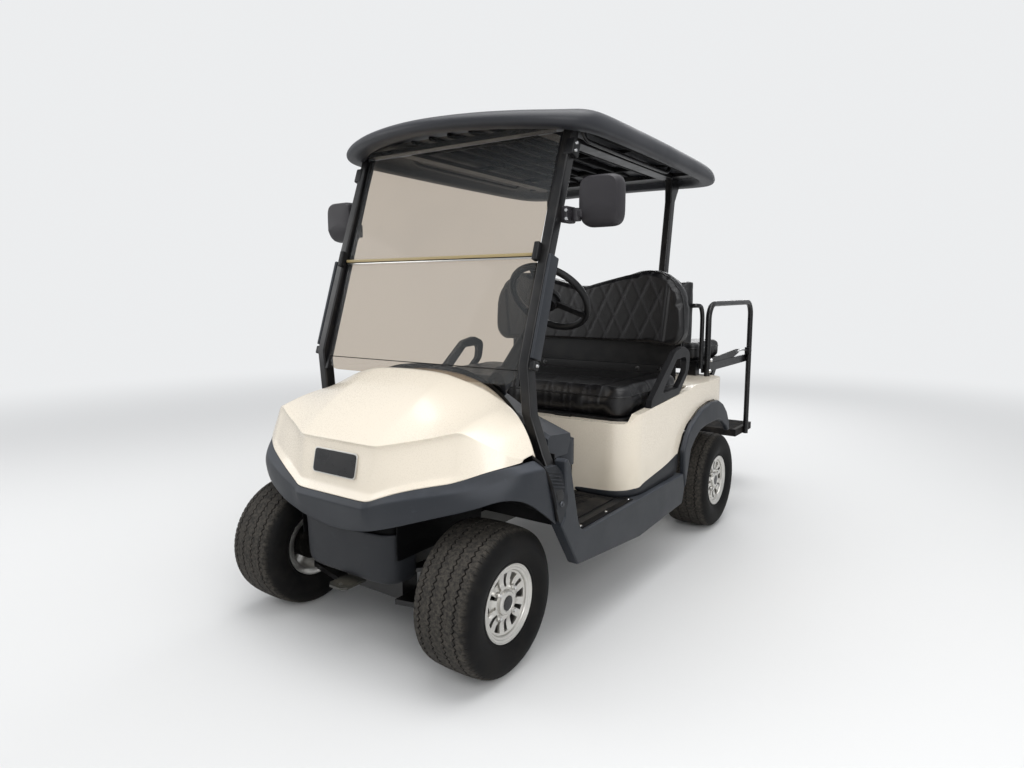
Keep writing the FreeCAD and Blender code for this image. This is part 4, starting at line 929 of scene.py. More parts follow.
@dataclass
class RoadWheels:
    """Four worn road tyres on spoked alloy wheels, with hubs, nuts and plain dark caps.

    Args:
        pitches: how often the tread's pattern repeats round the tyre.
        pitch_rows: places of the vertex rows within one repeat, from 0 to 1.
        notch_span: where in a repeat the shoulder notch lies.
        zigzag: how far the grooves swing.
        notch: how deep the shoulder notch is.
        sector: degrees between a narrow slot and the next wide window.
        slot: half angle of a slot, then its inner and outer radius.
        window: the same of a window's pocket.
        hole_from: inner radius of the hole in the pocket.
        nut_circle: radius that the nuts stand on.
    """

    shop: Workshop
    pitches: int = 72
    pitch_rows: tuple[float, ...] = (0.0, 0.2, 0.24, 0.4, 0.44, 0.5, 0.75)
    notch_span: Pair = (0.22, 0.42)
    zigzag: float = 0.0042
    notch: float = 0.0034
    sector: float = 30.0
    slot: Point = (5, 0.052, 0.09)
    window: Point = (10, 0.047, 0.09)
    hole_from: float = 0.068
    nut_circle: float = 0.0508

    def tyre(self) -> Mesh:
        """Spin the tyre, then bend its grooves and cut its shoulder notches."""
        bm = bmesh.new()
        zig, notch, wear = (bm.verts.layers.float.new(name) for name in ("zig", "notch", "wear"))
        rows = [(-row[0], *row[1:]) for row in reversed(TYRE_OUTLINE[1:])] + list(TYRE_OUTLINE)
        made = chain(bm, [(a, 0.0, r) for a, r, *_ in rows], closed=True)
        for vert, row in zip(made, rows):
            vert[zig], vert[notch], vert[wear] = row[2:]
        steps = self.pitches * len(self.pitch_rows)
        turned(bm, made, steps)
        for vert in bm.verts:
            radius = math.hypot(vert.co.y, vert.co.z)
            index = round(math.atan2(vert.co.y, vert.co.z) / math.tau * steps) % steps
            pitch, share = index // len(self.pitch_rows), self.pitch_rows[index % len(self.pitch_rows)]
            if self.notch_span[0] < share < self.notch_span[1]:
                radius -= self.notch * vert[notch]
            angle = (pitch + share) / self.pitches * math.tau
            wave = 4 * abs(share - 0.5) - 1
            vert.co = (vert.co.x + self.zigzag * wave * vert[zig], radius * math.sin(angle),
                       radius * math.cos(angle))
        return bm

    def turned_part(self, outline: Rows, closed: bool = False, steps: int = 96) -> Mesh:
        """Spin one outline of the wheel about the axle."""
        bm = bmesh.new()
        turned(bm, chain(bm, [(a, 0.0, r) for a, r in outline], closed), steps)
        return bm if closed else faced(bm, (1, 0, 0))

    def face_plate(self) -> Mesh:
        """Spoked face: narrow slots between wide, recessed windows."""
        bm = self.turned_part(SPOKED_FACE, steps=72)

        def polar(point: Vector) -> tuple[float, float, int]:
            """Radius, angle from the nearest sector's middle in degrees, and that sector's number."""
            angle = math.degrees(math.atan2(point.y, point.z))
            number = round(angle / self.sector)
            return math.hypot(point.y, point.z), angle - number * self.sector, number

        def within(radius: float, angle: float, limits: Point) -> bool:
            """Whether a place is inside a slot or a pocket."""
            return abs(angle) < limits[0] and limits[1] < radius < limits[2]

        pocket, slots, holes = [], [], []
        for face in bm.faces:
            radius, angle, number = polar(face.calc_center_median())
            if number % 2 == 0 and within(radius, angle, self.slot):
                slots.append(face)
            if number % 2 and within(radius, angle, self.window):
                pocket.append(face)
                if radius > self.hole_from:
                    holes.append(face)
        for vert in bm.verts:
            radius, angle, number = polar(vert.co)
            if number % 2 and abs(angle) < 11 and radius < 0.089:
                pull = 0.42 + 0.58 * max(0.0, min(1.0, (radius - 0.045) / 0.042))
                turn = math.radians(number * self.sector + angle * pull)
                vert.co = (vert.co.x, radius * math.sin(turn), radius * math.cos(turn))
        bmesh.ops.delete(bm, geom=slots, context="FACES")
        bmesh.ops.inset_region(bm, faces=pocket, thickness=0.0016, depth=-0.0075, use_even_offset=True)
        bmesh.ops.delete(bm, geom=holes, context="FACES")
        return bm

    def nuts(self, sides: int, radius: float, foot: float, height: float) -> Mesh:
        """Four heads on the bolt circle."""
        angles = [math.radians(45 + 90 * index) for index in range(4)]
        places = [(foot, self.nut_circle * math.sin(a), self.nut_circle * math.cos(a)) for a in angles]
        return joined(disc_head(radius, height, place, (1, 0, 0), sides) for place in places)

    def wheel(self, tail: str, side: Side, axle: Point) -> None:
        """One wheel: tread, rim with its hub, spokes, cap and nuts."""
        def placed(bm: Mesh, name: str, crease: float) -> Piece:
            """A left wheel's part, turned to its side and moved to its axle."""
            bmesh.ops.translate(sided(bm, side), verts=bm.verts, vec=axle)
            return finished(bm, name + tail, crease)

        tyre, wheel, seat = "tyre_" + tail, "wheel_" + tail, self.shop.seat
        seat(placed(self.tyre(), "tread_", 28), tyre, "tyre_rubber", (tyre,))
        barrel = joined([self.turned_part(BARREL, True), self.turned_part(HUB_DOME),
                         self.nuts(28, 0.0098, 0.0765, 0.0065)])
        seat(bevelled(placed(barrel, "rim_", 24), 0.0005, 2, 35), wheel, "alloy", (wheel,))
        plate = walled(placed(self.face_plate(), "spokes_", 30), 0.010)
        seat(bevelled(plate, 0.0011, 2, 40), wheel, "alloy")
        seat(placed(self.turned_part(HUB_BADGE), "cap_", 30), wheel, "cap_black")
        seat(placed(self.nuts(6, 0.0068, 0.0828, 0.006), "nuts_", 20), wheel, "chrome")

    def build(self) -> None:
        """Make every wheel at its place."""
        for end, track, y in (("front", FRONT_TRACK, 0.0), ("rear", REAR_TRACK, WHEELBASE)):
            for side in Side:
                self.wheel(end + side.tail, side, (side.value * track, y, TYRE_R))


# ---- nose ----

# Hood stations of the left half. Columns: x, seam y, z, brow y, z, crest y, z, crown, recess, dip, and
# y, z of the dark ledge's end behind the crest
NOSE: Rows = (
    (0.000, -0.213, 0.525, -0.182, 0.690, 0.150, 0.883, 0.016, 1.0, 0.000, 0.262, 0.872),
    (0.080, -0.213, 0.525, -0.182, 0.690, 0.150, 0.882, 0.016, 1.0, 0.000, 0.260, 0.868),
    (0.148, -0.213, 0.525, -0.181, 0.690, 0.151, 0.877, 0.016, 1.0, 0.000, 0.256, 0.862),
    (0.168, -0.207, 0.529, -0.179, 0.690, 0.151, 0.874, 0.016, 1.0, 0.002, 0.254, 0.858),
    (0.186, -0.202, 0.537, -0.172, 0.692, 0.151, 0.871, 0.015, 1.0, 0.003, 0.253, 0.854),
    (0.250, -0.187, 0.563, -0.141, 0.705, 0.154, 0.855, 0.014, 1.0, -0.002, 0.248, 0.838),
    (0.320, -0.161, 0.583, -0.115, 0.720, 0.168, 0.832, 0.012, 1.0, -0.007, 0.240, 0.803),
    (0.385, -0.132, 0.597, -0.088, 0.738, 0.170, 0.798, 0.011, 1.0, -0.005, 0.222, 0.762),
    (0.405, -0.121, 0.601, -0.079, 0.743, 0.168, 0.790, 0.011, 0.75, -0.002, 0.210, 0.748),
    (0.425, -0.110, 0.607, -0.068, 0.738, 0.163, 0.780, 0.011, 0.1, 0.000, 0.198, 0.736),
    (0.455, -0.092, 0.618, -0.053, 0.721, 0.151, 0.764, 0.010, 0.0, 0.000, 0.170, 0.718),
    (0.500, -0.054, 0.637, -0.027, 0.694, 0.124, 0.736, 0.008, 0.0, 0.000, 0.136, 0.696),
    (0.535, -0.015, 0.647, -0.003, 0.671, 0.104, 0.698, 0.004, 0.0, 0.000, 0.114, 0.676),
    (0.552, 0.035, 0.652, 0.042, 0.660, 0.096, 0.664, 0.001, 0.0, 0.000, 0.106, 0.650),
)

# Bumper stations of the left half. Columns: seam x, y, z, lip x, y, z, lower edge x, y, z, turn of the wall
BUMPER: Rows = (
    (0.000, -0.213, 0.523, 0.000, -0.226, 0.505, 0.000, -0.200, 0.411, 0.0),
    (0.075, -0.213, 0.523, 0.079, -0.226, 0.505, 0.076, -0.200, 0.416, 0.0),
    (0.145, -0.213, 0.523, 0.150, -0.225, 0.505, 0.146, -0.200, 0.428, 0.0),
    (0.163, -0.209, 0.526, 0.170, -0.216, 0.510, 0.166, -0.201, 0.434, 3.0),
    (0.185, -0.203, 0.534, 0.190, -0.211, 0.519, 0.188, -0.201, 0.441, 8.0),
    (0.250, -0.187, 0.561, 0.255, -0.203, 0.541, 0.252, -0.202, 0.461, 20.0),
    (0.350, -0.148, 0.588, 0.360, -0.168, 0.565, 0.363, -0.173, 0.499, 30.0),
    (0.408, -0.120, 0.599, 0.425, -0.141, 0.578, 0.440, -0.129, 0.520, 38.0),
    (0.455, -0.092, 0.616, 0.478, -0.090, 0.589, 0.492, -0.099, 0.537, 45.0),
    (0.500, -0.054, 0.635, 0.530, -0.035, 0.610, 0.540, -0.058, 0.558, 60.0),
    (0.535, -0.015, 0.645, 0.566, 0.005, 0.625, 0.568, -0.010, 0.552, 75.0),
    (0.552, 0.035, 0.646, 0.582, 0.040, 0.628, 0.582, 0.045, 0.528, 90.0),
    (0.556, 0.095, 0.646, 0.588, 0.102, 0.623, 0.592, 0.158, 0.439, 90.0),
)


def between(first: Sequence[float], second: Sequence[float], share: float) -> Point:
    """The point at a share of the way from the first to the second."""
    return tuple(a + (b - a) * share for a, b in zip(first, second))


@dataclass
class Nose:
    """Pale hood with its recessed face, the grey bumper below it, and the bare plate in the middle.

    Args:
        wall: thickness of both mouldings.
        recess: how deep the face lies between the seam and the brow.
        face_ends: where the recess begins and ends on the way from the seam to the brow.
        hood_creases: strength of the crease along each row of the hood.
        bumper_creases: the same for the bumper.
        ledge: rows of the hood that are dark.
        plate: width, thickness and height of the plate's rim.
        plate_centre: its middle.
        plate_lean: how many degrees it leans back.
    """

    shop: Workshop
    wall: float = 0.006
    recess: float = 0.011
    face_ends: Pair = (0.13, 0.93)
    hood_creases: dict[int, float] = field(default_factory=lambda: {1: 0.8, 3: 0.5, 4: 0.85, 9: 0.8, 10: 0.9})
    bumper_creases: dict[int, float] = field(default_factory=lambda: {1: 0.7, 2: 0.6, 4: 0.7})
    ledge: tuple[int, ...] = (9, 10, 11)
    plate: Point = (0.196, 0.006, 0.080)
    plate_centre: Point = (0, -0.1885, 0.618)
    plate_lean: float = -12.0

    def hood_column(self, row: Sequence[float]) -> list[Point]:
        """One station of the hood, from the seam over the brow and the crest to the ledge behind it."""
        x, sy, sz, by, bz, ry, rz, crown, recess, dip, ey, ez = row
        seam, brow, rear = (x, sy, sz), (x, by, bz), (x, ry, rz)
        deep = self.recess * recess
        foot, head = (between(seam, brow, share) for share in self.face_ends)
        points = [seam, (x, foot[1] + deep, foot[2]),
                  (x, (foot[1] + head[1]) / 2 + deep, (foot[2] + head[2]) / 2),
                  (x, head[1] + deep, head[2]), brow]
        for share in (0.05, 0.25, 0.5, 0.75, 1.0):
            arch = 4 * share * (1 - share)
            px, py, pz = between(brow, rear, share)
            points.append((px, py, pz + arch * (crown + dip)))
        return points + [(x, ry + 0.006, min(rz - 0.008, 0.843)), (x, ey, ez)]

    def hood(self) -> None:
        """Hood skin with crisp brow and lower crease, and its dark ledge."""
        columns = mirrored_columns([self.hood_column(row) for row in NOSE])
        bm = draped(columns, (0, -0.4, 1))
        creased_rows(bm, columns, self.hood_creases)
        dark = {spot(column[number]) for column in columns for number in self.ledge}
        for face in bm.faces:
            face.material_index = int(all(spot(vert.co) in dark for vert in face.verts))
        piece = skin(bm, "hood_skin", 3, self.wall, 1)
        self.shop.seat(piece, "front_cowl", "cream_gloss", ("front_cowl",), second="black_plastic")

    def bumper_column(self, row: Sequence[float]) -> list[Point]:
        """One station of the bumper, from behind the hood's edge down and under."""
        angle = math.radians(row[9])
        inward = Vector((-math.sin(angle), math.cos(angle), 0))
        seam, lip, low = Vector(row[0:3]), Vector(row[3:6]), Vector(row[6:9])
        out = -inward * 0.004
        return [tuple(p) for p in (seam + inward * 0.010 - Vector((0, 0, 0.001)), seam, lip,
                                   lip.lerp(low, 0.5) + out, low,
                                   low + inward * 0.012 + Vector((0, 0, 0.002)))]

    def bumper(self) -> None:
        """Grey bumper that runs on into both wheel arches."""
        columns = mirrored_columns([self.bumper_column(row) for row in BUMPER])
        bm = draped(columns, (0, -1, 0.1))
        creased_rows(bm, columns, self.bumper_creases)
        for column in columns:
            if 0.140 < abs(column[1][0]) < 0.170:
                creased(bm, column[:4], 0.75)
        piece = skin(bm, "bumper_skin", 3, self.wall, 1)
        self.shop.seat(piece, "front_fender", "slate_plastic", ("front_fender",), second="black_plastic")

    def plates(self) -> None:
        """Bare dark plate with a bright rim, in the middle of the recessed face."""
        lean = Matrix.Rotation(math.radians(self.plate_lean), 3, "X")
        width, depth, height = self.plate
        x, y, z = self.plate_centre
        for name, finish, grow, out in (("nose_plate_rim", "alloy", 0.0, 0.0),
                                        ("nose_plate", "cap_black", -0.007, 0.0014)):
            bm = bmesh.new()
            bmesh.ops.create_cube(bm, size=1.0)
            bmesh.ops.scale(bm, verts=bm.verts, vec=(width + grow, depth, height + grow))
            corners = [edge for edge in bm.edges if abs(edge.verts[0].co.y - edge.verts[1].co.y) > 1e-4]
            bmesh.ops.bevel(bm, geom=corners, offset=0.011, offset_type="OFFSET", affect="EDGES", segments=6,
                            profile=0.5, material=-1)
            bmesh.ops.rotate(bm, verts=bm.verts, cent=(0, 0, 0), matrix=lean)
            bmesh.ops.translate(bm, verts=bm.verts, vec=(x, y - out, z))
            self.shop.seat(bevelled(finished(bm, name), 0.0012, 3), "front_cowl", finish)

    def build(self) -> None:
        """Make the nose."""
        self.hood()
        self.bumper()
        self.plates()


# ---- below the bumper ----

# Outer edge of a front wheel's liner, and the height of its crown. Columns: x, y, z, crown
LINER: Rows = (
    (0.250, -0.186, 0.466, 0.500), (0.355, -0.158, 0.504, 0.522), (0.432, -0.116, 0.525, 0.538),
    (0.482, -0.085, 0.542, 0.548), (0.528, -0.046, 0.562, 0.556), (0.555, -0.003, 0.558, 0.560),
    (0.570, 0.048, 0.533, 0.556), (0.578, 0.105, 0.487, 0.540), (0.579, 0.158, 0.444, 0.515),
    (0.570, 0.215, 0.420, 0.480), (0.556, 0.262, 0.400, 0.440),
)


@dataclass
class FrontSkirt:
    """Rounded valance between the front wheels and the liners over them, whose near-black is painted shade.

    Args:
        half_width: half the valance's width.
        corner: radius of its corners.
        front_y: its front.
        back_y: where its sides end.
        top: height of its top.
        low: height of its foot.
        inner: x of the liners' inner walls.
    """

    shop: Workshop
    half_width: float = 0.214
    corner: float = 0.06
    front_y: float = -0.174
    back_y: float = -0.060
    top: float = 0.412
    low: float = 0.250
    inner: float = 0.222

    @staticmethod
    def bent(plan: Sequence[Pair], levels: Sequence[Pair]) -> Mesh:
        """Sheet along the left half's plan and its mirror image; levels are heights with their insets."""
        columns = []
        for x, y in plan:
            pull = Vector((x, y)).normalized() if x else Vector((0, -1))
            columns.append([(max(0.0, x - pull.x * inset) if x else 0.0, y - pull.y * inset, z)
                            for z, inset in levels])
        return draped(mirrored_columns(columns), (0, -1, 0))

    def valance(self) -> None:
        """Valance bent round both corners and turned under at its foot, with a panel behind its top that stands
        in for the shaded parts there, near-black as painted shade.
        """
        w, c, f = self.half_width, self.corner, self.front_y
        plan = [(0.0, f), (w * 0.35, f), (w - c * 1.6, f + 0.001), (w - c, f + 0.006)]
        plan += [(w - c + c * math.sin(a), f + 0.006 + c - c * math.cos(a)) for a in (0.4, 0.8, 1.2, 1.57)]
        plan += [(w, self.back_y)]
        front = self.bent(plan, [(self.top, -0.004), (self.top - 0.03, 0.0), (0.330, 0.0),
                                 (self.low + 0.03, 0.002), (self.low + 0.010, 0.006), (self.low, 0.016)])
        panel = self.bent(plan, [(self.top + 0.046, 0.010), (self.top + 0.01, 0.008), (self.top - 0.03, 0.008)])
        self.shop.seat(skin(front, "valance_skin", 2, 0.005), "front_valance", "slate_dark", ("front_valance",))
        # The panel behind the valance's top is near-black painted shade
        self.shop.seat(skin(panel, "valance_backing", 1, 0.003), "front_valance", "under_plastic")

    def liners(self) -> None:
        """Sheet over each front wheel, with its inner wall, near-black as painted shade."""
        inner = self.inner
        for side in Side:
            columns = []
            for x, y, z, top in LINER:
                deep = max(-0.15, y)
                column = [(x, y, z), (x - 0.02, y + 0.004, z + 0.012), ((x + inner) / 2, (y + deep) / 2, top),
                          (inner + 0.02, deep, top - 0.008), (inner, deep, top - 0.03), (inner, deep, 0.335)]
                columns.append([(px * side.value, py, pz) for px, py, pz in column])
            piece = skin(draped(columns, (0, 0, -1)), "liner" + side.tail, 1, 0.003)
            # The liner's near-black is painted shade over the wheel
            self.shop.seat(piece, "front_fender", "under_plastic", slot=self.shop.node_slot["front_valance"])

    def build(self) -> None:
        """Make the skirt."""
        self.valance()
        self.liners()


# ---- upholstery ----


@dataclass
class Cushion:
    """One padded piece, blown up by the cloth solver from a slightly smaller solid, then sewn.

    Args:
        node: the solid that it stands for.
        finish: name of its finish.
        pull: how much smaller each side starts.
        swell: farthest that a point may move.
        fill: not used.
        seams: planes that cut a sewn groove, each a point, a normal and the side that shows.
        welts: planes along which piping lies, each a name and a point.
        welt_normal: normal of the planes of the piping.
        sag: how far the pad may pass its solid's lower corner on each axis.
        rise: how far it may pass the upper corner.
        voxel: size of its even mesh; quick_voxel is not used.
        pressure: of the cloth solver, for that many frames.
        ironing: how often the blown-up mesh is smoothed.
        groove: depth and reach of a sewn groove.
        welt_radius: radius of the piping.
    """

    shop: Workshop
    node: str
    finish: str
    pull: Point
    swell: float
    fill: float
    seams: tuple[tuple[Point, Point, Point], ...]
    welts: tuple[tuple[str, Point], ...]
    welt_normal: Point
    sag: Point = (0.0005, 0.0005, 0.0005)
    rise: float = 0.004
    voxel: float = 0.0062
    quick_voxel: float = 0.014
    pressure: float = 4.0
    frames: int = 20
    ironing: int = 8
    groove: Pair = (0.0055, 0.006)
    welt_radius: float = 0.0036

    def start_shape(self) -> Piece:
        """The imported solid, drawn in a little and remeshed evenly."""
        low, high = (Vector(corner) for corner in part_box(self.node))
        bm = copied(self.shop.frame["nodes"][self.node].data)
        bmesh.ops.remove_doubles(bm, verts=bm.verts, dist=WELD)
        centre = (low + high) / 2
        grow = [1 - 2 * pull / length for pull, length in zip(self.pull, high - low)]
        bmesh.ops.translate(bm, verts=bm.verts, vec=-centre)
        bmesh.ops.scale(bm, verts=bm.verts, vec=grow)
        bmesh.ops.translate(bm, verts=bm.verts, vec=centre)
        piece = finished(bm, self.node + "_pad", SMOOTH, moved=False)
        remesh = piece.modifiers.new("even_mesh", "REMESH")
        remesh.mode, remesh.voxel_size = "VOXEL", self.voxel
        return self.applied(piece)

    @staticmethod
    def applied(piece: Piece) -> Piece:
        """Keep what the modifiers make and drop them."""
        graph = bpy.context.evaluated_depsgraph_get()
        made, old = bpy.data.meshes.new_from_object(piece.evaluated_get(graph)), piece.data
        piece.modifiers.clear()
        piece.data = made
        made.name = piece.name
        bpy.data.meshes.remove(old)
        return piece

    def inflate(self, piece: Piece) -> None:
        """Blow the pad up with the cloth solver and hold every point within the swell."""
        before = [vert.co.copy() for vert in piece.data.vertices]
        cloth = piece.modifiers.new("padding", "CLOTH")
        settings = cloth.settings
        settings.quality = 5
        settings.use_pressure = True
        settings.uniform_pressure_force = self.pressure
        settings.effector_weights.gravity = 0
        settings.tension_stiffness = settings.compression_stiffness = 18
        settings.bending_stiffness = 4.0
        scene = bpy.context.scene
        cloth.point_cache.frame_start, cloth.point_cache.frame_end = 1, self.frames
        for frame in range(1, self.frames + 1):
            scene.frame_set(frame)
        self.applied(piece)
        scene.frame_set(1)
        for vert, start in zip(piece.data.vertices, before):
            step = vert.co - start
            if step.length > self.swell:
                vert.co = start + step * (self.swell / step.length)
        bm = copied(piece.data)
        for _ in range(self.ironing):
            bmesh.ops.smooth_vert(bm, verts=bm.verts, factor=0.5, use_axis_x=True, use_axis_y=True,
                                  use_axis_z=True)
        bm.to_mesh(piece.data)
        bm.free()

    def hold(self, piece: Piece) -> None:
        """Keep the pad inside its solid's box, flat where it rests."""
        low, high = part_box(self.node)
        for vert in piece.data.vertices:
            for axis in range(3):
                inside = max(low[axis] - self.sag[axis], vert.co[axis])
                vert.co[axis] = min(high[axis] + self.rise, inside)

    def sew(self, piece: Piece) -> None:
        """Pull the seams and the diamonds in."""
        depth, reach = self.groove
        moves = []
        for vert in piece.data.vertices:
            place = vert.co - Vector((0, AXLE_Y, 0))
            dent = QUILTS[self.node].dent(place, vert.normal)
            for point, normal, shown in self.seams:
                away = place - Vector(point)
                if away.dot(Vector(shown)) > 0:
                    dent = max(dent, depth * math.exp(-(abs(away.dot(Vector(normal))) / reach) ** 2))
            moves.append(vert.normal * -dent)
        for vert, move in zip(piece.data.vertices, moves):
            vert.co += move

    def piping(self, piece: Piece) -> None:
        """Lay a thin welt along each plane's cut through the pad."""
        for name, point in self.welts:
            bm = copied(piece.data)
            cut = bmesh.ops.bisect_plane(
                bm, geom=bm.verts[:] + bm.edges[:] + bm.faces[:], plane_no=self.welt_normal,
                plane_co=Vector(point) + Vector((0, AXLE_Y, 0)))["geom_cut"]
            verts, edges = (set(of_kind(kind, cut)) for kind in (bmesh.types.BMVert, bmesh.types.BMEdge))
            run = longest_run(verts, edges)
            bm.free()
            welt = tube(smoothed(run, 6), self.welt_radius, closed=True)
            cord = finished(welt, f"{self.node}_{name}", BAR_CREASE, moved=False)
            self.shop.seat(cord, self.node, "welt_vinyl")

    def build(self) -> None:
        """Make the cushion and its piping."""
        piece = self.start_shape()
        self.inflate(piece)
        self.hold(piece)
        self.sew(piece)
        for face in piece.data.polygons:
            face.use_smooth = True
        self.shop.seat(piece, self.node, self.finish, (self.node,))
        self.piping(piece)


def longest_run(verts: set, edges: set) -> list[Vector]:
    """Order the places of the longest closed loop among some edges."""
    best: list[Vector] = []
    left = set(verts)
    while left:
        here = left.pop()
        run = [here]
        while True:
            steps = [edge.other_vert(here) for edge in here.link_edges if edge in edges]
            steps = [vert for vert in steps if vert in left]
            if not steps:
                break
            here = steps[0]
            left.discard(here)
            run.append(here)
        if len(run) > len(best):
            best = run
    return [vert.co.copy() for vert in best]


def smoothed(points: Sequence[Vector], rounds: int) -> list[Vector]:
    """Even out a closed run of points."""
    run = list(points)
    for _ in range(rounds):
        run = [(run[i - 1] + run[i] * 2 + run[(i + 1) % len(run)]) / 4 for i in range(len(run))]
    return run


@dataclass
class Upholstery:
    """Front seat with its two-hump backrest, and the rear-facing pair."""

    shop: Workshop

    @staticmethod
    def pair(point: Point, shown: Point, lean: float = 0.0) -> tuple[tuple[Point, Point, Point], ...]:
        """Sewn grooves on the left and right: each a point, a normal and the side that shows."""
        x, y, z = point
        return tuple(((side.value * x, y, z), (1, 0, lean * side.value), shown) for side in Side)

    def build(self) -> None:
        """Make the four cushions."""
        up, front, back = (0, 0, 1), (0, -1, 0), (0, 1, 0)
        Cushion(self.shop, "front_seat", "seat_quilt", (0.010, 0.010, 0.004), 0.024, 0.75,
                self.pair((0.405, 0, 0.70), up) + (((0, 1.005, 0.70), back, up),),
                (("welt_top", (0, 1.0, 0.742)),), up).build()
        Cushion(self.shop, "front_backrest", "back_quilt", (0.010, 0.008, 0.002), 0.022, 0.7,
                self.pair((0.425, 1.335, 1.0), front, -0.10),
                (("welt_front", (0, 1.356, 1.0)), ("welt_back", (0, 1.414, 1.0))), front,
                sag=(0.0005, 0.0005, 0.006)).build()
        Cushion(self.shop, "rear_cushion", "rear_seat_quilt", (0.009, 0.009, 0.006), 0.022, 0.75,
                self.pair((0.36, 1.8, 0.84), up), (("welt_top", (0, 1.8, 0.858)),), up).build()
        Cushion(self.shop, "rear_backrest", "rear_back_quilt", (0.009, 0.008, 0.003), 0.020, 0.7,
                self.pair((0.36, 1.665, 1.0), back), (("welt_front", (0, 1.645, 1.0)),), front).build()


# ---- roof ----

# Plan of the roof's left half, from the middle of its bowed front edge to the middle of its rear: x, y
ROOF_PLAN: Rows = (
    (0.0, 0.171), (0.055, 0.1735), (0.11, 0.180), (0.165, 0.190), (0.22, 0.204), (0.275, 0.221),
    (0.33, 0.243), (0.385, 0.268), (0.435, 0.296), (0.48, 0.325), (0.513, 0.352), (0.538, 0.382),
    (0.555, 0.418), (0.565, 0.460), (0.570, 0.515), (0.572, 0.60), (0.572, 0.70), (0.571, 0.82),
    (0.570, 0.95), (0.567, 1.08), (0.563, 1.21), (0.558, 1.34), (0.553, 1.46), (0.546, 1.55),
    (0.535, 1.62), (0.515, 1.675), (0.482, 1.714), (0.435, 1.735), (0.37, 1.743), (0.28, 1.745),
    (0.19, 1.746), (0.09, 1.747), (0.0, 1.747),
)

# Levels from the middle of the underside round the rim to the middle of the top. Columns: share of the
# plan, height at the front and rear, height at the sides
ROOF_LEVELS: Rows = (
    (0.0, 0.066, 0.066), (0.25, 0.066, 0.066), (0.55, 0.063, 0.063), (0.80, 0.046, 0.050),
    (0.885, 0.032, 0.038), (0.900, 0.012, 0.012), (0.908, 0.002, 0.002), (0.935, -0.001, -0.001),
    (0.970, -0.001, -0.001), (0.990, 0.004, 0.004), (1.0, 0.014, 0.016), (1.0, 0.024, 0.032),
    (0.990, 0.036, 0.051), (0.968, 0.046, 0.066), (0.930, 0.053, 0.076), (0.870, 0.059, 0.082),
    (0.75, 0.067, 0.086), (0.55, 0.078, 0.089), (0.30, 0.086, 0.090), (0.0, 0.090, 0.090),
)


@dataclass
class Canopy:
    """Moulded roof with a bowed front, a rolled rim, a ribbed underside that is near-black as painted shade,
    and two grab bars.

    Args:
        low: height of the rim's foot at the sides, level_y behind the front axle.
        crown: how much higher the middle is.
        half_width: half the roof's width.
        fall: drop to the rear for each metre.
        middle: y that the levels shrink to.
        dark_below: height of the rim above its foot up to which it is dark, as painted shade.
        ribs: x of the long ribs.
        cross_ribs: y of the cross ribs.
        bar: x, front y and rear y of a grab bar.
    """

    shop: Workshop
    low: float = 1.652
    level_y: float = 0.335
    crown: float = 0.012
    half_width: float = 0.57
    fall: float = 0.0192
    middle: float = 0.958
    dark_below: float = 0.031
    ribs: tuple[float, ...] = (-0.42, -0.23, -0.14, -0.05, 0.05, 0.14, 0.23, 0.42)
    cross_ribs: Point = (0.62, 1.02, 1.38)
    bar: Point = (0.405, 0.62, 1.40)

    def height(self, x: float, y: float) -> float:
        """Height of the rim's foot: arched across and falling to the rear."""
        return self.low + self.crown * (1 - (x / self.half_width) ** 2) - self.fall * (y - self.level_y)

    def shell(self) -> None:
        """One skin from the underside round the rim to the top."""
        plan = list(ROOF_PLAN) + [(-x, y) for x, y in reversed(ROOF_PLAN[1:-1])]
        columns = []
        for index, (x, y) in enumerate(plan):
            before, after = plan[index - 1], plan[(index + 1) % len(plan)]
            side = Vector((after[0] - before[0], after[1] - before[1])).normalized().y ** 2
            column = []
            for share, front, flank in ROOF_LEVELS:
                px, py = x * share, self.middle + (y - self.middle) * share
                column.append((px, py, self.height(px, py) + front + (flank - front) * side))
            columns.append(column)
        bm = wrapped(columns)
        # Faces that look down, and the rim's lowest band, get the near-black finish as painted shade
        for face in bm.faces:
            x, y, z = face.calc_center_median()
            face.material_index = int(face.normal.z < -0.2 or z - self.height(x, y) < self.dark_below)
        piece = subdivided(finished(bm, "roof_skin", SMOOTH), 1)
        self.shop.seat(piece, "roof", "roof_plastic", ("roof",), second="under_plastic")

    def underside(self) -> None:
        """Long ribs and cross ribs moulded under the top."""
        lean = Matrix.Rotation(-math.atan(self.fall), 3, "X")
        parts = [block((0.014, 1.10, 0.026), (x, 0.98, self.height(x, 0.98) + 0.054), 0.005, lean, 2)
                 for x in self.ribs]
        parts += [block((0.80, 0.016, 0.026), (0, y, self.height(0.2, y) + 0.054), 0.005, lean, 2)
                  for y in self.cross_ribs]
        # The ribs get the underside's near-black painted shade
        self.shop.fit(parts, "roof_ribs", "roof", "under_plastic")

    def handles(self) -> None:
        """Grab bar under each side of the roof."""
        x, *ends = self.bar
        drops = ((0.0, 0.055), (0.02, 0.022), (0.07, 0.018))
        run = [[(x, y + step * way, self.height(x, y) + lift) for step, lift in drops]
               for y, way in zip(ends, (1, -1))]
        bars = mirrored_bars(run[0] + run[1][::-1], 0.008, 2)
        self.shop.fit([bars], "roof_handles", "roof_frame", "black_steel", BAR_CREASE)

    def build(self) -> None:
        """Make the roof."""
        self.shell()
        self.underside()
        self.handles()


# ---- windscreen ----


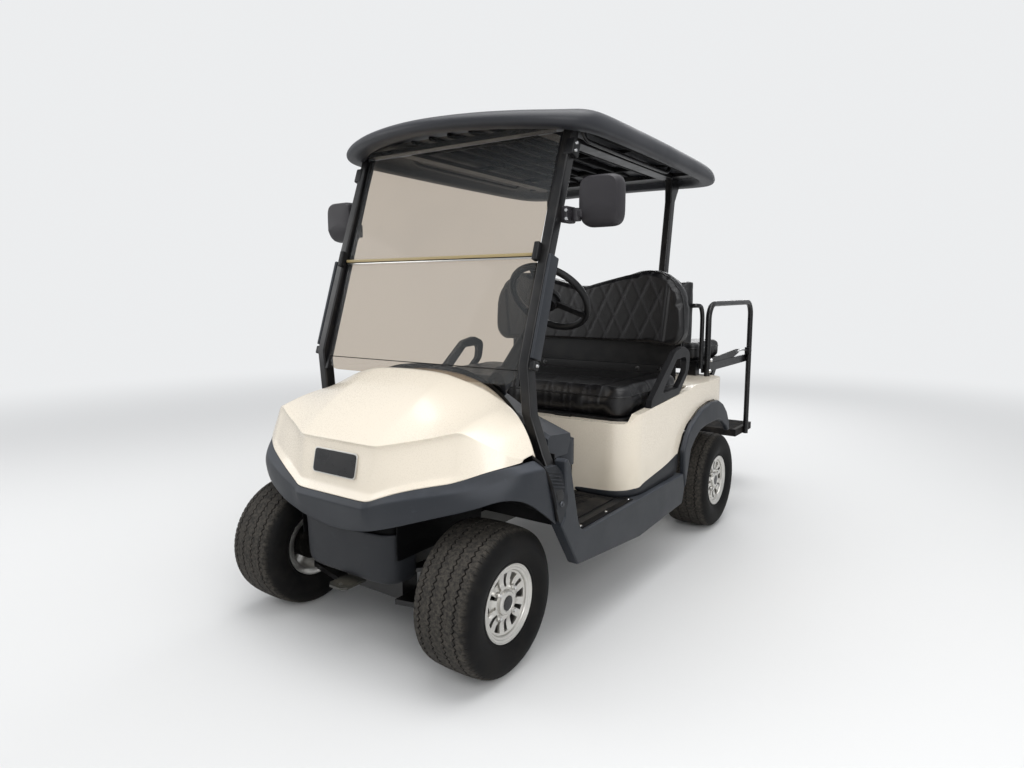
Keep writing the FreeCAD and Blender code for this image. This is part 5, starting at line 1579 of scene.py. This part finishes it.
@dataclass
class Windscreen:
    """Two tinted panes with round corners, the tan fold strip, their clamps and the seal over the hood.

    Args:
        half_width: half the panes' width.
        thickness: of a pane.
        foot: y and z of the lower pane's foot.
        fold_low: the same of its head.
        fold_high: the same of the upper pane's foot.
        head: the same of its head.
    """

    shop: Workshop
    half_width: float = 0.4395
    thickness: float = 0.005
    foot: Pair = (0.166, 0.852)
    fold_low: Pair = (0.286, 1.248)
    fold_high: Pair = (0.290, 1.264)
    head: Pair = (0.428, 1.655)

    def pane(self, name: str, low: Pair, high: Pair, corners: Pair) -> None:
        """One pane between two (y, z) edges, with the radii of its lower and upper corners."""
        node = "windshield_" + name
        rise = Vector((0, high[0] - low[0], high[1] - low[1]))
        bm = bmesh.new()
        bmesh.ops.create_grid(bm, x_segments=1, y_segments=1, size=0.5)
        bmesh.ops.scale(bm, verts=bm.verts, vec=(self.half_width * 2, rise.length, 1))
        for sign, radius in zip((-1, 1), corners):
            ends = [vert for vert in bm.verts if vert.co.y * sign > rise.length * 0.49]
            bmesh.ops.bevel(bm, geom=ends, offset=radius, offset_type="OFFSET", affect="VERTICES",
                            segments=6, profile=0.5, material=-1)
        turn = Matrix.Rotation(math.atan2(rise.z, rise.y), 3, "X")
        bmesh.ops.rotate(bm, verts=bm.verts, cent=(0, 0, 0), matrix=turn)
        middle = Vector((0, (low[0] + high[0]) / 2, (low[1] + high[1]) / 2))
        bmesh.ops.translate(bm, verts=bm.verts, vec=middle + turn @ Vector((0, 0, self.thickness)))
        piece = bevelled(walled(finished(bm, name + "_pane"), self.thickness), 0.0008)
        self.shop.seat(piece, node, "bronze_pane", (node,))

    def trims(self) -> None:
        """Tan strip and bright edge along the fold, hem of the lower pane, and the upper pane's head."""
        width = self.half_width * 2 - 0.006
        strips = (
            ("fold_strip", (width, 0.007, 0.010), (0, 0.2715, 1.2600), 0.0012, "frame", "tan_strip"),
            ("fold_edge", (width, 0.005, 0.005), (0, 0.2735, 1.2495), 0.0012, "frame", "alloy"),
            ("pane_hem", (width, 0.003, 0.003), (0, 0.1745, 0.8995), 0.0012, "frame", "trim_rubber"),
            ("pane_head", (width - 0.004, 0.004, 0.046), (0, 0.401, 1.677), 0.0015, "upper", "bronze_pane"))
        for name, size, centre, rounding, node, finish in strips:
            self.shop.fit([block(size, centre, rounding, None, 2)], name, "windshield_" + node, finish)

    def seal(self) -> None:
        """Dark strip that fills the gap between the hood's rear edge and the lower pane."""
        columns = []
        for x, *_, y, z in (row for row in NOSE if row[0] <= 0.44):
            lift = 0.014 * (1 - (x / 0.5) ** 2) + 0.004
            columns.append([(x, y - 0.002, z - 0.006), (x, y + 0.002, z + lift),
                            (x, y + 0.010, z + lift + 0.001), (x, y + 0.022, z - 0.010)])
        bm = draped(mirrored_columns(columns), (0, -0.3, 1))
        self.shop.seat(skin(bm, "hood_seal", 2, 0.003), "front_cowl", "trim_rubber")

    def clamps(self) -> None:
        """Clamp at the head of each post, and the grey cover with its clip along the lower pane."""
        lean = Matrix.Rotation(-math.atan2(0.112, 0.342), 3, "X")
        upper = Matrix.Rotation(-math.atan2(0.146, 0.408), 3, "X")
        for side in Side:
            sign = side.value
            self.shop.fit([block((0.012, 0.050, 0.335), (sign * 0.4965, 0.238, 1.095), 0.004, lean)],
                          "post_cover" + side.tail, "front_struts", "slate_plastic")
            clips = [block((0.036, 0.040, 0.056), (sign * 0.489, 0.409, 1.598), 0.005, upper),
                     block((0.034, 0.030, 0.030), (sign * 0.492, 0.176, 0.918), 0.005, lean),
                     block((0.020, 0.024, 0.060), (sign * 0.452, 0.262, 1.268), 0.004, lean)]
            self.shop.fit(clips, "pane_clamps" + side.tail, "front_struts", "black_plastic")
            heads = [disc_head(0.006, 0.005, (sign * x, y, z), side.facing(), 12) for x, y, z in (
                (0.507, 0.404, 1.612), (0.507, 0.398, 1.588), (0.509, 0.176, 0.918))]
            self.shop.fit(heads, "clamp_screws" + side.tail, "front_struts", "chrome")

    def build(self) -> None:
        """Make the windscreen."""
        self.pane("lower", self.foot, self.fold_low, (0.050, 0.006))
        self.pane("upper", self.fold_high, self.head, (0.006, 0.030))
        self.trims()
        self.seal()
        self.clamps()


# ---- mirrors ----


@dataclass
class DoorMirrors:
    """Two rounded mirror housings on short arms, with glass that faces the rear.

    Args:
        centre: middle of the left housing.
        half_width: half its width.
        half_height: half its height.
        levels: its levels from the rear to the front, each a share of the outline and an offset along y.
        squareness: power of the outline's rounded corners.
        steps: vertices round the outline.
        fold: how far the front of the lower part leans back, for each metre below fold_at.
    """

    shop: Workshop
    centre: Point = (0.6005, 0.404, 1.4255)
    half_width: float = 0.0722
    half_height: float = 0.0803
    levels: Rows = (
        (0.0, 0.020), (0.86, 0.020), (0.90, 0.026), (0.955, 0.028), (0.985, 0.024), (1.0, 0.012),
        (0.995, -0.008), (0.965, -0.020), (0.90, -0.028), (0.70, -0.031), (0.35, -0.032), (0.0, -0.032))
    squareness: float = 4.6
    steps: int = 48
    fold: float = 0.35
    fold_at: float = -0.030

    def outline(self, share: float, offset: float) -> list[Point]:
        """One level of the housing; its lower third is folded back at the front."""
        power = 2 / self.squareness
        fold = self.fold if offset < 0 else 0.0
        ring = []
        for index in range(self.steps):
            angle = math.tau * index / self.steps
            c, s = math.cos(angle), math.sin(angle)
            u = math.copysign(abs(c) ** power, c) * self.half_width * share
            v = math.copysign(abs(s) ** power, s) * self.half_height * share
            back = max(0.0, self.fold_at - v) * fold
            ring.append((self.centre[0] + u, self.centre[1] + offset + back, self.centre[2] + v))
        return ring

    def housing(self) -> Mesh:
        """The left housing with its arm, collar and knuckle."""
        rings = [self.outline(share, offset) for share, offset in self.levels]
        return joined([wrapped([[ring[index] for ring in rings] for index in range(self.steps)]),
                       block((0.062, 0.024, 0.026), (0.516, 0.384, 1.389), 0.006),
                       block((0.026, 0.060, 0.052), (0.497, 0.374, 1.386), 0.006),
                       disc_head(0.015, 0.040, (0.522, 0.384, 1.366), (0, 0, 1), 24, 1.0)])

    def glass(self) -> Mesh:
        """The left glass."""
        x, y, z = self.centre
        edge = self.outline(0.83, 0.0)
        pane = draped([[(x, y + 0.0195, z), point] for point in [*edge, edge[0]]], (0, 1, 0))
        for vert in pane.verts:
            vert.co.y = y + 0.0208
        bmesh.ops.remove_doubles(pane, verts=pane.verts, dist=SAME)
        return pane

    def bolts(self) -> Mesh:
        """The two bolts of the left collar."""
        return joined(disc_head(0.006, 0.005, (0.506, y, z), (0.3, -1, 0), 12)
                      for y, z in ((0.347, 1.398), (0.349, 1.372)))

    def build(self) -> None:
        """Make both mirrors."""
        for side in Side:
            for make, name, finish in ((self.housing, "mirror_housing", "mirror_plastic"),
                                       (self.glass, "mirror_glass", "mirror_glass"),
                                       (self.bolts, "mirror_bolts", "chrome")):
                piece = finished(sided(make(), side), name + side.tail, HEAD_CREASE)
                stands = ("mirrors",) if piece.name == "mirror_housing_left" else ()
                self.shop.seat(piece, "mirrors", finish, stands)


# ---- feet of the posts, sills and floor ----

# Outline of a post's foot in side view: y, z
POST_FOOT: Rows = (
    (0.112, 0.622), (0.118, 0.585), (0.126, 0.548), (0.146, 0.487), (0.162, 0.444), (0.172, 0.440),
    (0.184, 0.452), (0.212, 0.492), (0.213, 0.512), (0.206, 0.560), (0.196, 0.596), (0.176, 0.618),
)

# Edge of the left front arch in front of the post's foot: x, y, z
ARCH_EDGE: Rows = (
    (0.548, 0.094, 0.655), (0.570, 0.104, 0.636), (0.588, 0.116, 0.600), (0.596, 0.130, 0.553),
    (0.597, 0.146, 0.500), (0.597, 0.160, 0.452),
)

# Plan of the strip under the pod's left half, with the height of its top: x, y, z
POD_SKIRT: Rows = (
    (0.5765, 1.162, 0.464), (0.5765, 1.06, 0.437), (0.5768, 0.93, 0.4225), (0.577, 0.83, 0.412),
    (0.5755, 0.795, 0.404), (0.566, 0.752, 0.400), (0.545, 0.722, 0.398), (0.512, 0.704, 0.396),
    (0.472, 0.698, 0.394), (0.40, 0.697, 0.392), (0.345, 0.697, 0.390),
)


@dataclass
class SideTrim:
    """Post feet, rubber edge of the arches, tread strips on the sills, pod skirt and floor ribs."""

    shop: Workshop

    def foot_block(self, side: Side) -> None:
        """Ribbed block with a bolt that the post stands in; it leans in above its waist."""
        lean = Matrix.Rotation(math.radians(-14), 3, "X")
        ribs = [(0.6030, 0.1615 + n * -0.0028, 0.556 + n * 0.0115) for n in range(5)]
        whole = joined([slab_of(POST_FOOT, 0.583, 0.6025)] + [
            block((0.0045, 0.060, 0.0045), place, 0.0012, lean, 2) for place in ribs])
        for vert in whole.verts:
            vert.co.x = (vert.co.x - max(0.0, vert.co.z - 0.545) * 0.28) * side.value
        if side is Side.RIGHT:
            bmesh.ops.reverse_faces(whole, faces=whole.faces)
        piece = bevelled(finished(whole, "post_foot" + side.tail), 0.0022)
        self.shop.seat(piece, "front_struts", "slate_dark")
        centre = (side.value * 0.6025, 0.176, 0.500)
        heads = [disc_head(0.0095, 0.003, centre, side.facing(), 24),
                 disc_head(0.0060, 0.006, centre, side.facing(), 6)]
        self.shop.fit(heads, "foot_bolt" + side.tail, "front_struts", "zinc", 20)

    def sill_strips(self) -> None:
        """Ridged tread strip with its screws on each sill."""
        strips, screws = [], []
        for side in Side:
            x = side.value * 0.5725
            strips.append(block((0.026, 0.385, 0.004), (x, 0.523, 0.3738), 0.001, None, 2))
            ridges = [(side.value * (0.5635 + n * 0.0045), 0.523, 0.3762) for n in range(5)]
            strips += [block((0.0022, 0.375, 0.0016), place, 0.0005, None, 1) for place in ridges]
            screws += [disc_head(0.0058, 0.0028, (x, y, 0.3758), (0, 0, 1), 16)
                       for y in (0.345, 0.523, 0.70)]
        self.shop.fit(strips, "sill_strips", "sills", "trim_rubber")
        self.shop.fit(screws, "sill_screws", "sills", "chrome", HEAD_CREASE)

    def pod_skirt(self) -> None:
        """Dark strip between the pale pod and the sill, round the pod's front corners."""
        for side in Side:
            sign = side.value
            columns = [[(sign * (x + 0.003), y - 0.002, 0.3725),
                        (sign * (x + 0.0025), y - 0.002, top - 0.004),
                        (sign * x, y, top)] for x, y, top in POD_SKIRT]
            piece = skin(draped(columns, (sign, -0.4, 0)), "pod_skirt" + side.tail, 1, 0.004)
            self.shop.seat(piece, "sills", "slate_dark")

    def build(self) -> None:
        """Make the trim of both sides."""
        for side in Side:
            self.foot_block(side)
        self.shop.fit([mirrored_bars(ARCH_EDGE, 0.0055, 2)], "arch_rubber", "front_fender",
                      "trim_rubber", BAR_CREASE)
        self.sill_strips()
        self.pod_skirt()
        self.shop.fit(grip_ribs((0.90, 0.007, 0.003), (0, 0.430, 0.3758), 0.0195, 13), "mat_ribs",
                      "floor_mat", "mat_rubber")


def grip_ribs(size: Point, first: Point, step: float, count: int) -> list[Mesh]:
    """Equal ribs across, one behind the other.

    Args:
        size: lengths of a rib along x, y and z.
        first: middle of the foremost one.
        step: distance from one to the next.
        count: how many there are.

    Returns:
        The ribs.
    """
    x, y, z = first
    return [block(size, (x, y + n * step, z), 0.001, None, 1) for n in range(count)]


# ---- rear kit ----


@dataclass
class RearKit:
    """Curved side tubes, brackets with their links, ribs of the foot rest, seat bolts and the hub pad.

    Args:
        side_tube: middle line of the left tube from the rear backrest down to the frame.
        bracket: outline of the bracket beside the rear deck: y, z.
        bracket_x: its inner and outer face.
        link: middle line of the left link.
        hub_axis: direction that the steering wheel faces.
        hub_centre: middle of the steering wheel.
    """

    shop: Workshop
    side_tube: Rows = ((0.445, 1.600, 1.072), (0.478, 1.606, 1.074), (0.478, 1.650, 1.070),
                       (0.478, 1.674, 1.030), (0.478, 1.674, 0.960), (0.478, 1.674, 0.766))
    bracket: Rows = ((1.70, 0.764), (2.04, 0.764), (2.20, 0.792), (2.26, 0.806), (2.262, 0.822),
                     (2.20, 0.826), (1.70, 0.800))
    bracket_x: Pair = (0.476, 0.482)
    link: Rows = ((0.486, 2.235, 0.814), (0.489, 2.30, 0.816), (0.494, 2.352, 0.808))
    hub_axis: Point = (0, 0.743145, 0.669131)
    hub_centre: Point = (0.285, 0.600, 1.120)

    def brackets(self) -> None:
        """Long bracket beside the rear deck with a bright link to each grab loop."""
        plates, links = [], []
        for side in Side:
            sign, out = side.value, side.facing()
            plates.append(slab_of(self.bracket, *sorted(sign * x for x in self.bracket_x)))
            plates.append(block((0.030, 0.018, 0.040), (sign * 0.497, 2.362, 0.806), 0.003))
            links.append(disc_head(0.0075, 0.006, (sign * 0.482, 2.235, 0.812), out, 16))
            links.append(disc_head(0.0040, 0.034, (sign * 0.500, 2.386, 0.804), (0, 1, 0), 12, 1.0))
            links += [disc_head(0.0090, 0.006, (sign * 0.514, y, z), out, 16)
                      for y, z in ((1.715, 0.806), (1.700, 0.755))]
        links.append(mirrored_bars(self.link, 0.0045, 2))
        self.shop.fit(plates, "rear_brackets", "rear_seat_frame", "black_steel")
        self.shop.fit(links, "rear_links", "rear_seat_frame", "chrome", HEAD_CREASE)

    def hub(self) -> None:
        """Domed hub pad of the steering wheel with a bare round badge."""
        def disc(radius: float, height: float, foot: float, taper: float) -> Mesh:
            """A disc on the steering wheel's axis."""
            centre = Vector(self.hub_centre) + Vector(self.hub_axis) * foot
            return disc_head(radius, height, centre, self.hub_axis, 40, taper)

        pad = joined([disc(0.050, 0.016, -0.010, 0.94), disc(0.047, 0.008, 0.006, 0.72)])
        self.shop.seat(bevelled(finished(pad, "hub_pad", 60), 0.002), "steering_wheel", "black_plastic")
        self.shop.fit([disc(0.020, 0.002, 0.0138, 0.92)], "hub_badge", "steering_wheel", "zinc")

    def build(self) -> None:
        self.shop.fit([mirrored_bars(self.side_tube, 0.0105)], "rear_side_tubes", "rear_seat_frame",
                      "black_steel", BAR_CREASE)
        self.brackets()
        self.shop.fit(grip_ribs((0.93, 0.008, 0.0035), (0, 2.256, 0.3708), 0.0232, 12), "foot_rest_ribs",
                      "foot_rest", "mat_rubber")
        heads = [disc_head(0.0105, 0.005, (x, 1.4242, 0.782), (0, -1, 0), 24)
                 for x in (-0.37, -0.26, 0.26, 0.37)]
        self.shop.fit(heads, "seat_bolts", "back_support", "chrome", HEAD_CREASE)
        self.shop.fit([block((0.90, 0.008, 0.068), (0, 1.428, 0.766), 0.003)], "under_back_panel",
                      "back_support", "black_plastic")
        self.hub()


# ---- solids that keep their shape ----

# Columns: finish, rounding of the edges in metres, nodes
KEPT_FORMS: tuple[tuple[str, float, str], ...] = (
    ("frame_paint", 0.004, "frame_rails"), ("black_steel", 0.003, "front_suspension"),
    ("cast_iron", 0.002, "rack_housing"), ("cast_iron", 0.004, "rear_axle"),
    ("black_steel", 0.002, "rear_springs"), ("battery_case", 0.006, "battery_pack"),
    ("slate_plastic", 0.005, "dash"), ("black_plastic", 0.002, "floor_pan"),
    ("mat_rubber", 0.002, "floor_mat"), ("slate_plastic", 0.006, "sills"),
    ("cream_gloss", 0.004, "rear_body"), ("slate_plastic", 0.008, "rear_fenders"),
    ("black_steel", 0.003, "front_struts rear_struts roof_frame"),
    ("black_plastic", 0.002, "windshield_frame"), ("black_plastic", 0.003, "steering_column"),
    ("black_steel", 0.002, "pedals back_support"), ("black_plastic", 0.008, "hip_rests"),
    ("black_steel", 0.002, "rear_seat_frame"), ("black_steel", 0.001, "grab_loops"),
    ("mat_rubber", 0.003, "foot_rest"), ("black_steel", 0.001, "seat_hinges"),
    ("trim_rubber", 0.001, "steering_rack"), ("cast_iron", 0.002, "knuckle_left knuckle_right"),
    ("black_steel", 0.001, "tie_rod_left tie_rod_right"),
    ("black_plastic", 0.002, "steering_wheel seat_base"), ("black_steel", 0.002, "rear_deck"),
)


@dataclass
class KeptForms:
    """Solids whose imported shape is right: they only get rounded edges and a finish.

    Args:
        flat: degrees up to which neighbouring triangles count as one face.
    """

    shop: Workshop
    flat: float = 0.6

    def build(self) -> None:
        """Dress every node that no other class has replaced."""
        for finish, width, nodes in KEPT_FORMS:
            for node in nodes.split():
                solid = self.shop.frame["nodes"][node]
                if solid.hide_render:
                    continue
                bm = copied(solid.data)
                bmesh.ops.remove_doubles(bm, verts=bm.verts, dist=WELD)
                bmesh.ops.dissolve_limit(bm, angle_limit=math.radians(self.flat), verts=bm.verts,
                                         edges=bm.edges)
                piece = bevelled(finished(bm, node + "_form", moved=False), width)
                self.shop.seat(piece, node, finish, (node,))


# ---- studio ----

# Soft boxes: name, place, size, power
LAMPS: tuple[tuple[str, Point, float, float], ...] = (
    ("overhead", (0.5, -0.5, 4.2), 3.5, 125), ("front_left", (3.6, -3.4, 2.6), 2.5, 78),
    ("front_right", (-3.6, -3.2, 2.2), 2.5, 45), ("behind", (-1.0, 4.2, 2.8), 2.5, 60),
)


@dataclass
class Studio:
    """Camera at the photograph's angle, pale floor and soft light.

    Args:
        eye: where the camera stands.
        yaw: degrees that it is turned to the right of the cart's length.
        pitch: degrees that it looks up.
        roll: degrees that it leans.
        focal_px: focal length in pixels of a picture frame_px wide.
        frame_px: the picture's width.
        sensor: width of the sensor in millimetres.
        backdrop: colour behind the cart.
        aim: what the lamps point at.
    """

    eye: Point = (1.653, -2.717, 1.148)
    yaw: float = -35.40
    pitch: float = -7.79
    roll: float = -0.13
    focal_px: float = 686.5
    frame_px: float = 1024.0
    sensor: float = 36.0
    backdrop: tuple[float, float, float, float] = (0.84, 0.85, 0.86, 1.0)
    aim: Point = (0, 0, 0.7)

    def camera(self) -> None:
        """Set the camera where the photograph was taken from."""
        data = bpy.data.cameras.new("photo_camera")
        data.sensor_fit, data.sensor_width = "HORIZONTAL", self.sensor
        data.lens = self.focal_px / self.frame_px * self.sensor
        data.clip_start, data.clip_end = 0.05, 60.0
        camera = bpy.data.objects.new("photo_camera", data)
        bpy.context.scene.collection.objects.link(camera)
        turn = (Matrix.Rotation(math.radians(-self.yaw), 4, "Z")
                @ Matrix.Rotation(math.radians(90 + self.pitch), 4, "X")
                @ Matrix.Rotation(math.radians(self.roll), 4, "Z"))
        camera.matrix_world = Matrix.Translation(self.eye) @ turn
        bpy.context.scene.camera = camera

    def lamp(self, name: str, place: Point, size: float, power: float) -> None:
        """Add one square soft box."""
        data = bpy.data.lights.new(name, "AREA")
        data.shape, data.size, data.energy = "SQUARE", size, power
        lamp = bpy.data.objects.new(name, data)
        lamp.location = place
        lamp.rotation_mode = "QUATERNION"
        lamp.rotation_quaternion = (Vector(self.aim) - Vector(place)).to_track_quat("-Z", "Y")
        bpy.context.scene.collection.objects.link(lamp)

    def floor(self) -> None:
        """Add the pale floor, which fades into the backdrop for the camera."""
        bm = bmesh.new()
        bmesh.ops.create_grid(bm, x_segments=1, y_segments=1, size=30.0)
        floor = finished(bm, "studio_floor", moved=False)
        made = bpy.data.materials.new("studio_floor")
        g = Graph(made)
        matte = g.node("ShaderNodeBsdfDiffuse", inputs={
            "Color": (0.72, 0.72, 0.715, 1.0), "Normal": g.bump(g.noise(30, 3), 0.0005, 0.2)})
        away = g.node("ShaderNodeVectorMath", {"operation": "LENGTH"}, {0: g.place()}, "Value")
        far = g.node("ShaderNodeEmission", inputs={"Color": self.backdrop})
        seen = g.node("ShaderNodeLightPath", output="Is Camera Ray")
        g.close(g.node("ShaderNodeMixShader", inputs={0: away.ramp(2.6, 8.0) * seen, 1: matte, 2: far}))
        floor.data.materials.append(made)

    def world(self) -> None:
        """Light evenly, and show a pale backdrop to the camera and through the panes."""
        world = bpy.data.worlds.new("studio")
        bpy.context.scene.world = world
        g = Graph(world)
        seen, through = (g.node("ShaderNodeLightPath", output=f"Is {kind} Ray")
                         for kind in ("Camera", "Transmission"))
        light = g.node("ShaderNodeBackground", inputs={"Color": (0.95, 0.97, 1, 1), "Strength": 0.6})
        backdrop = g.node("ShaderNodeBackground", inputs={"Color": self.backdrop})
        shown = seen.apply("MAXIMUM", through)
        mix = g.node("ShaderNodeMixShader", inputs={0: shown, 1: light, 2: backdrop})
        g.close(mix, "ShaderNodeOutputWorld")

    def build(self) -> None:
        """Set up the whole studio."""
        self.camera()
        self.floor()
        self.world()
        for row in LAMPS:
            self.lamp(*row)
        bpy.context.scene.view_settings.view_transform = "Standard"


def main() -> None:
    """Build the cart's looks and the studio."""
    logging.basicConfig(level=logging.INFO, format="%(name)s %(message)s")
    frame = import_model()
    shop = Workshop(frame)
    for part in (RoadWheels, Nose, FrontSkirt, Upholstery, Canopy, Windscreen, DoorMirrors, SideTrim,
                 RearKit, KeptForms):
        part(shop).build()
    Studio().build()
    LOG.info("%d pieces", shop.count)


if __name__ == "__main__":
    main()
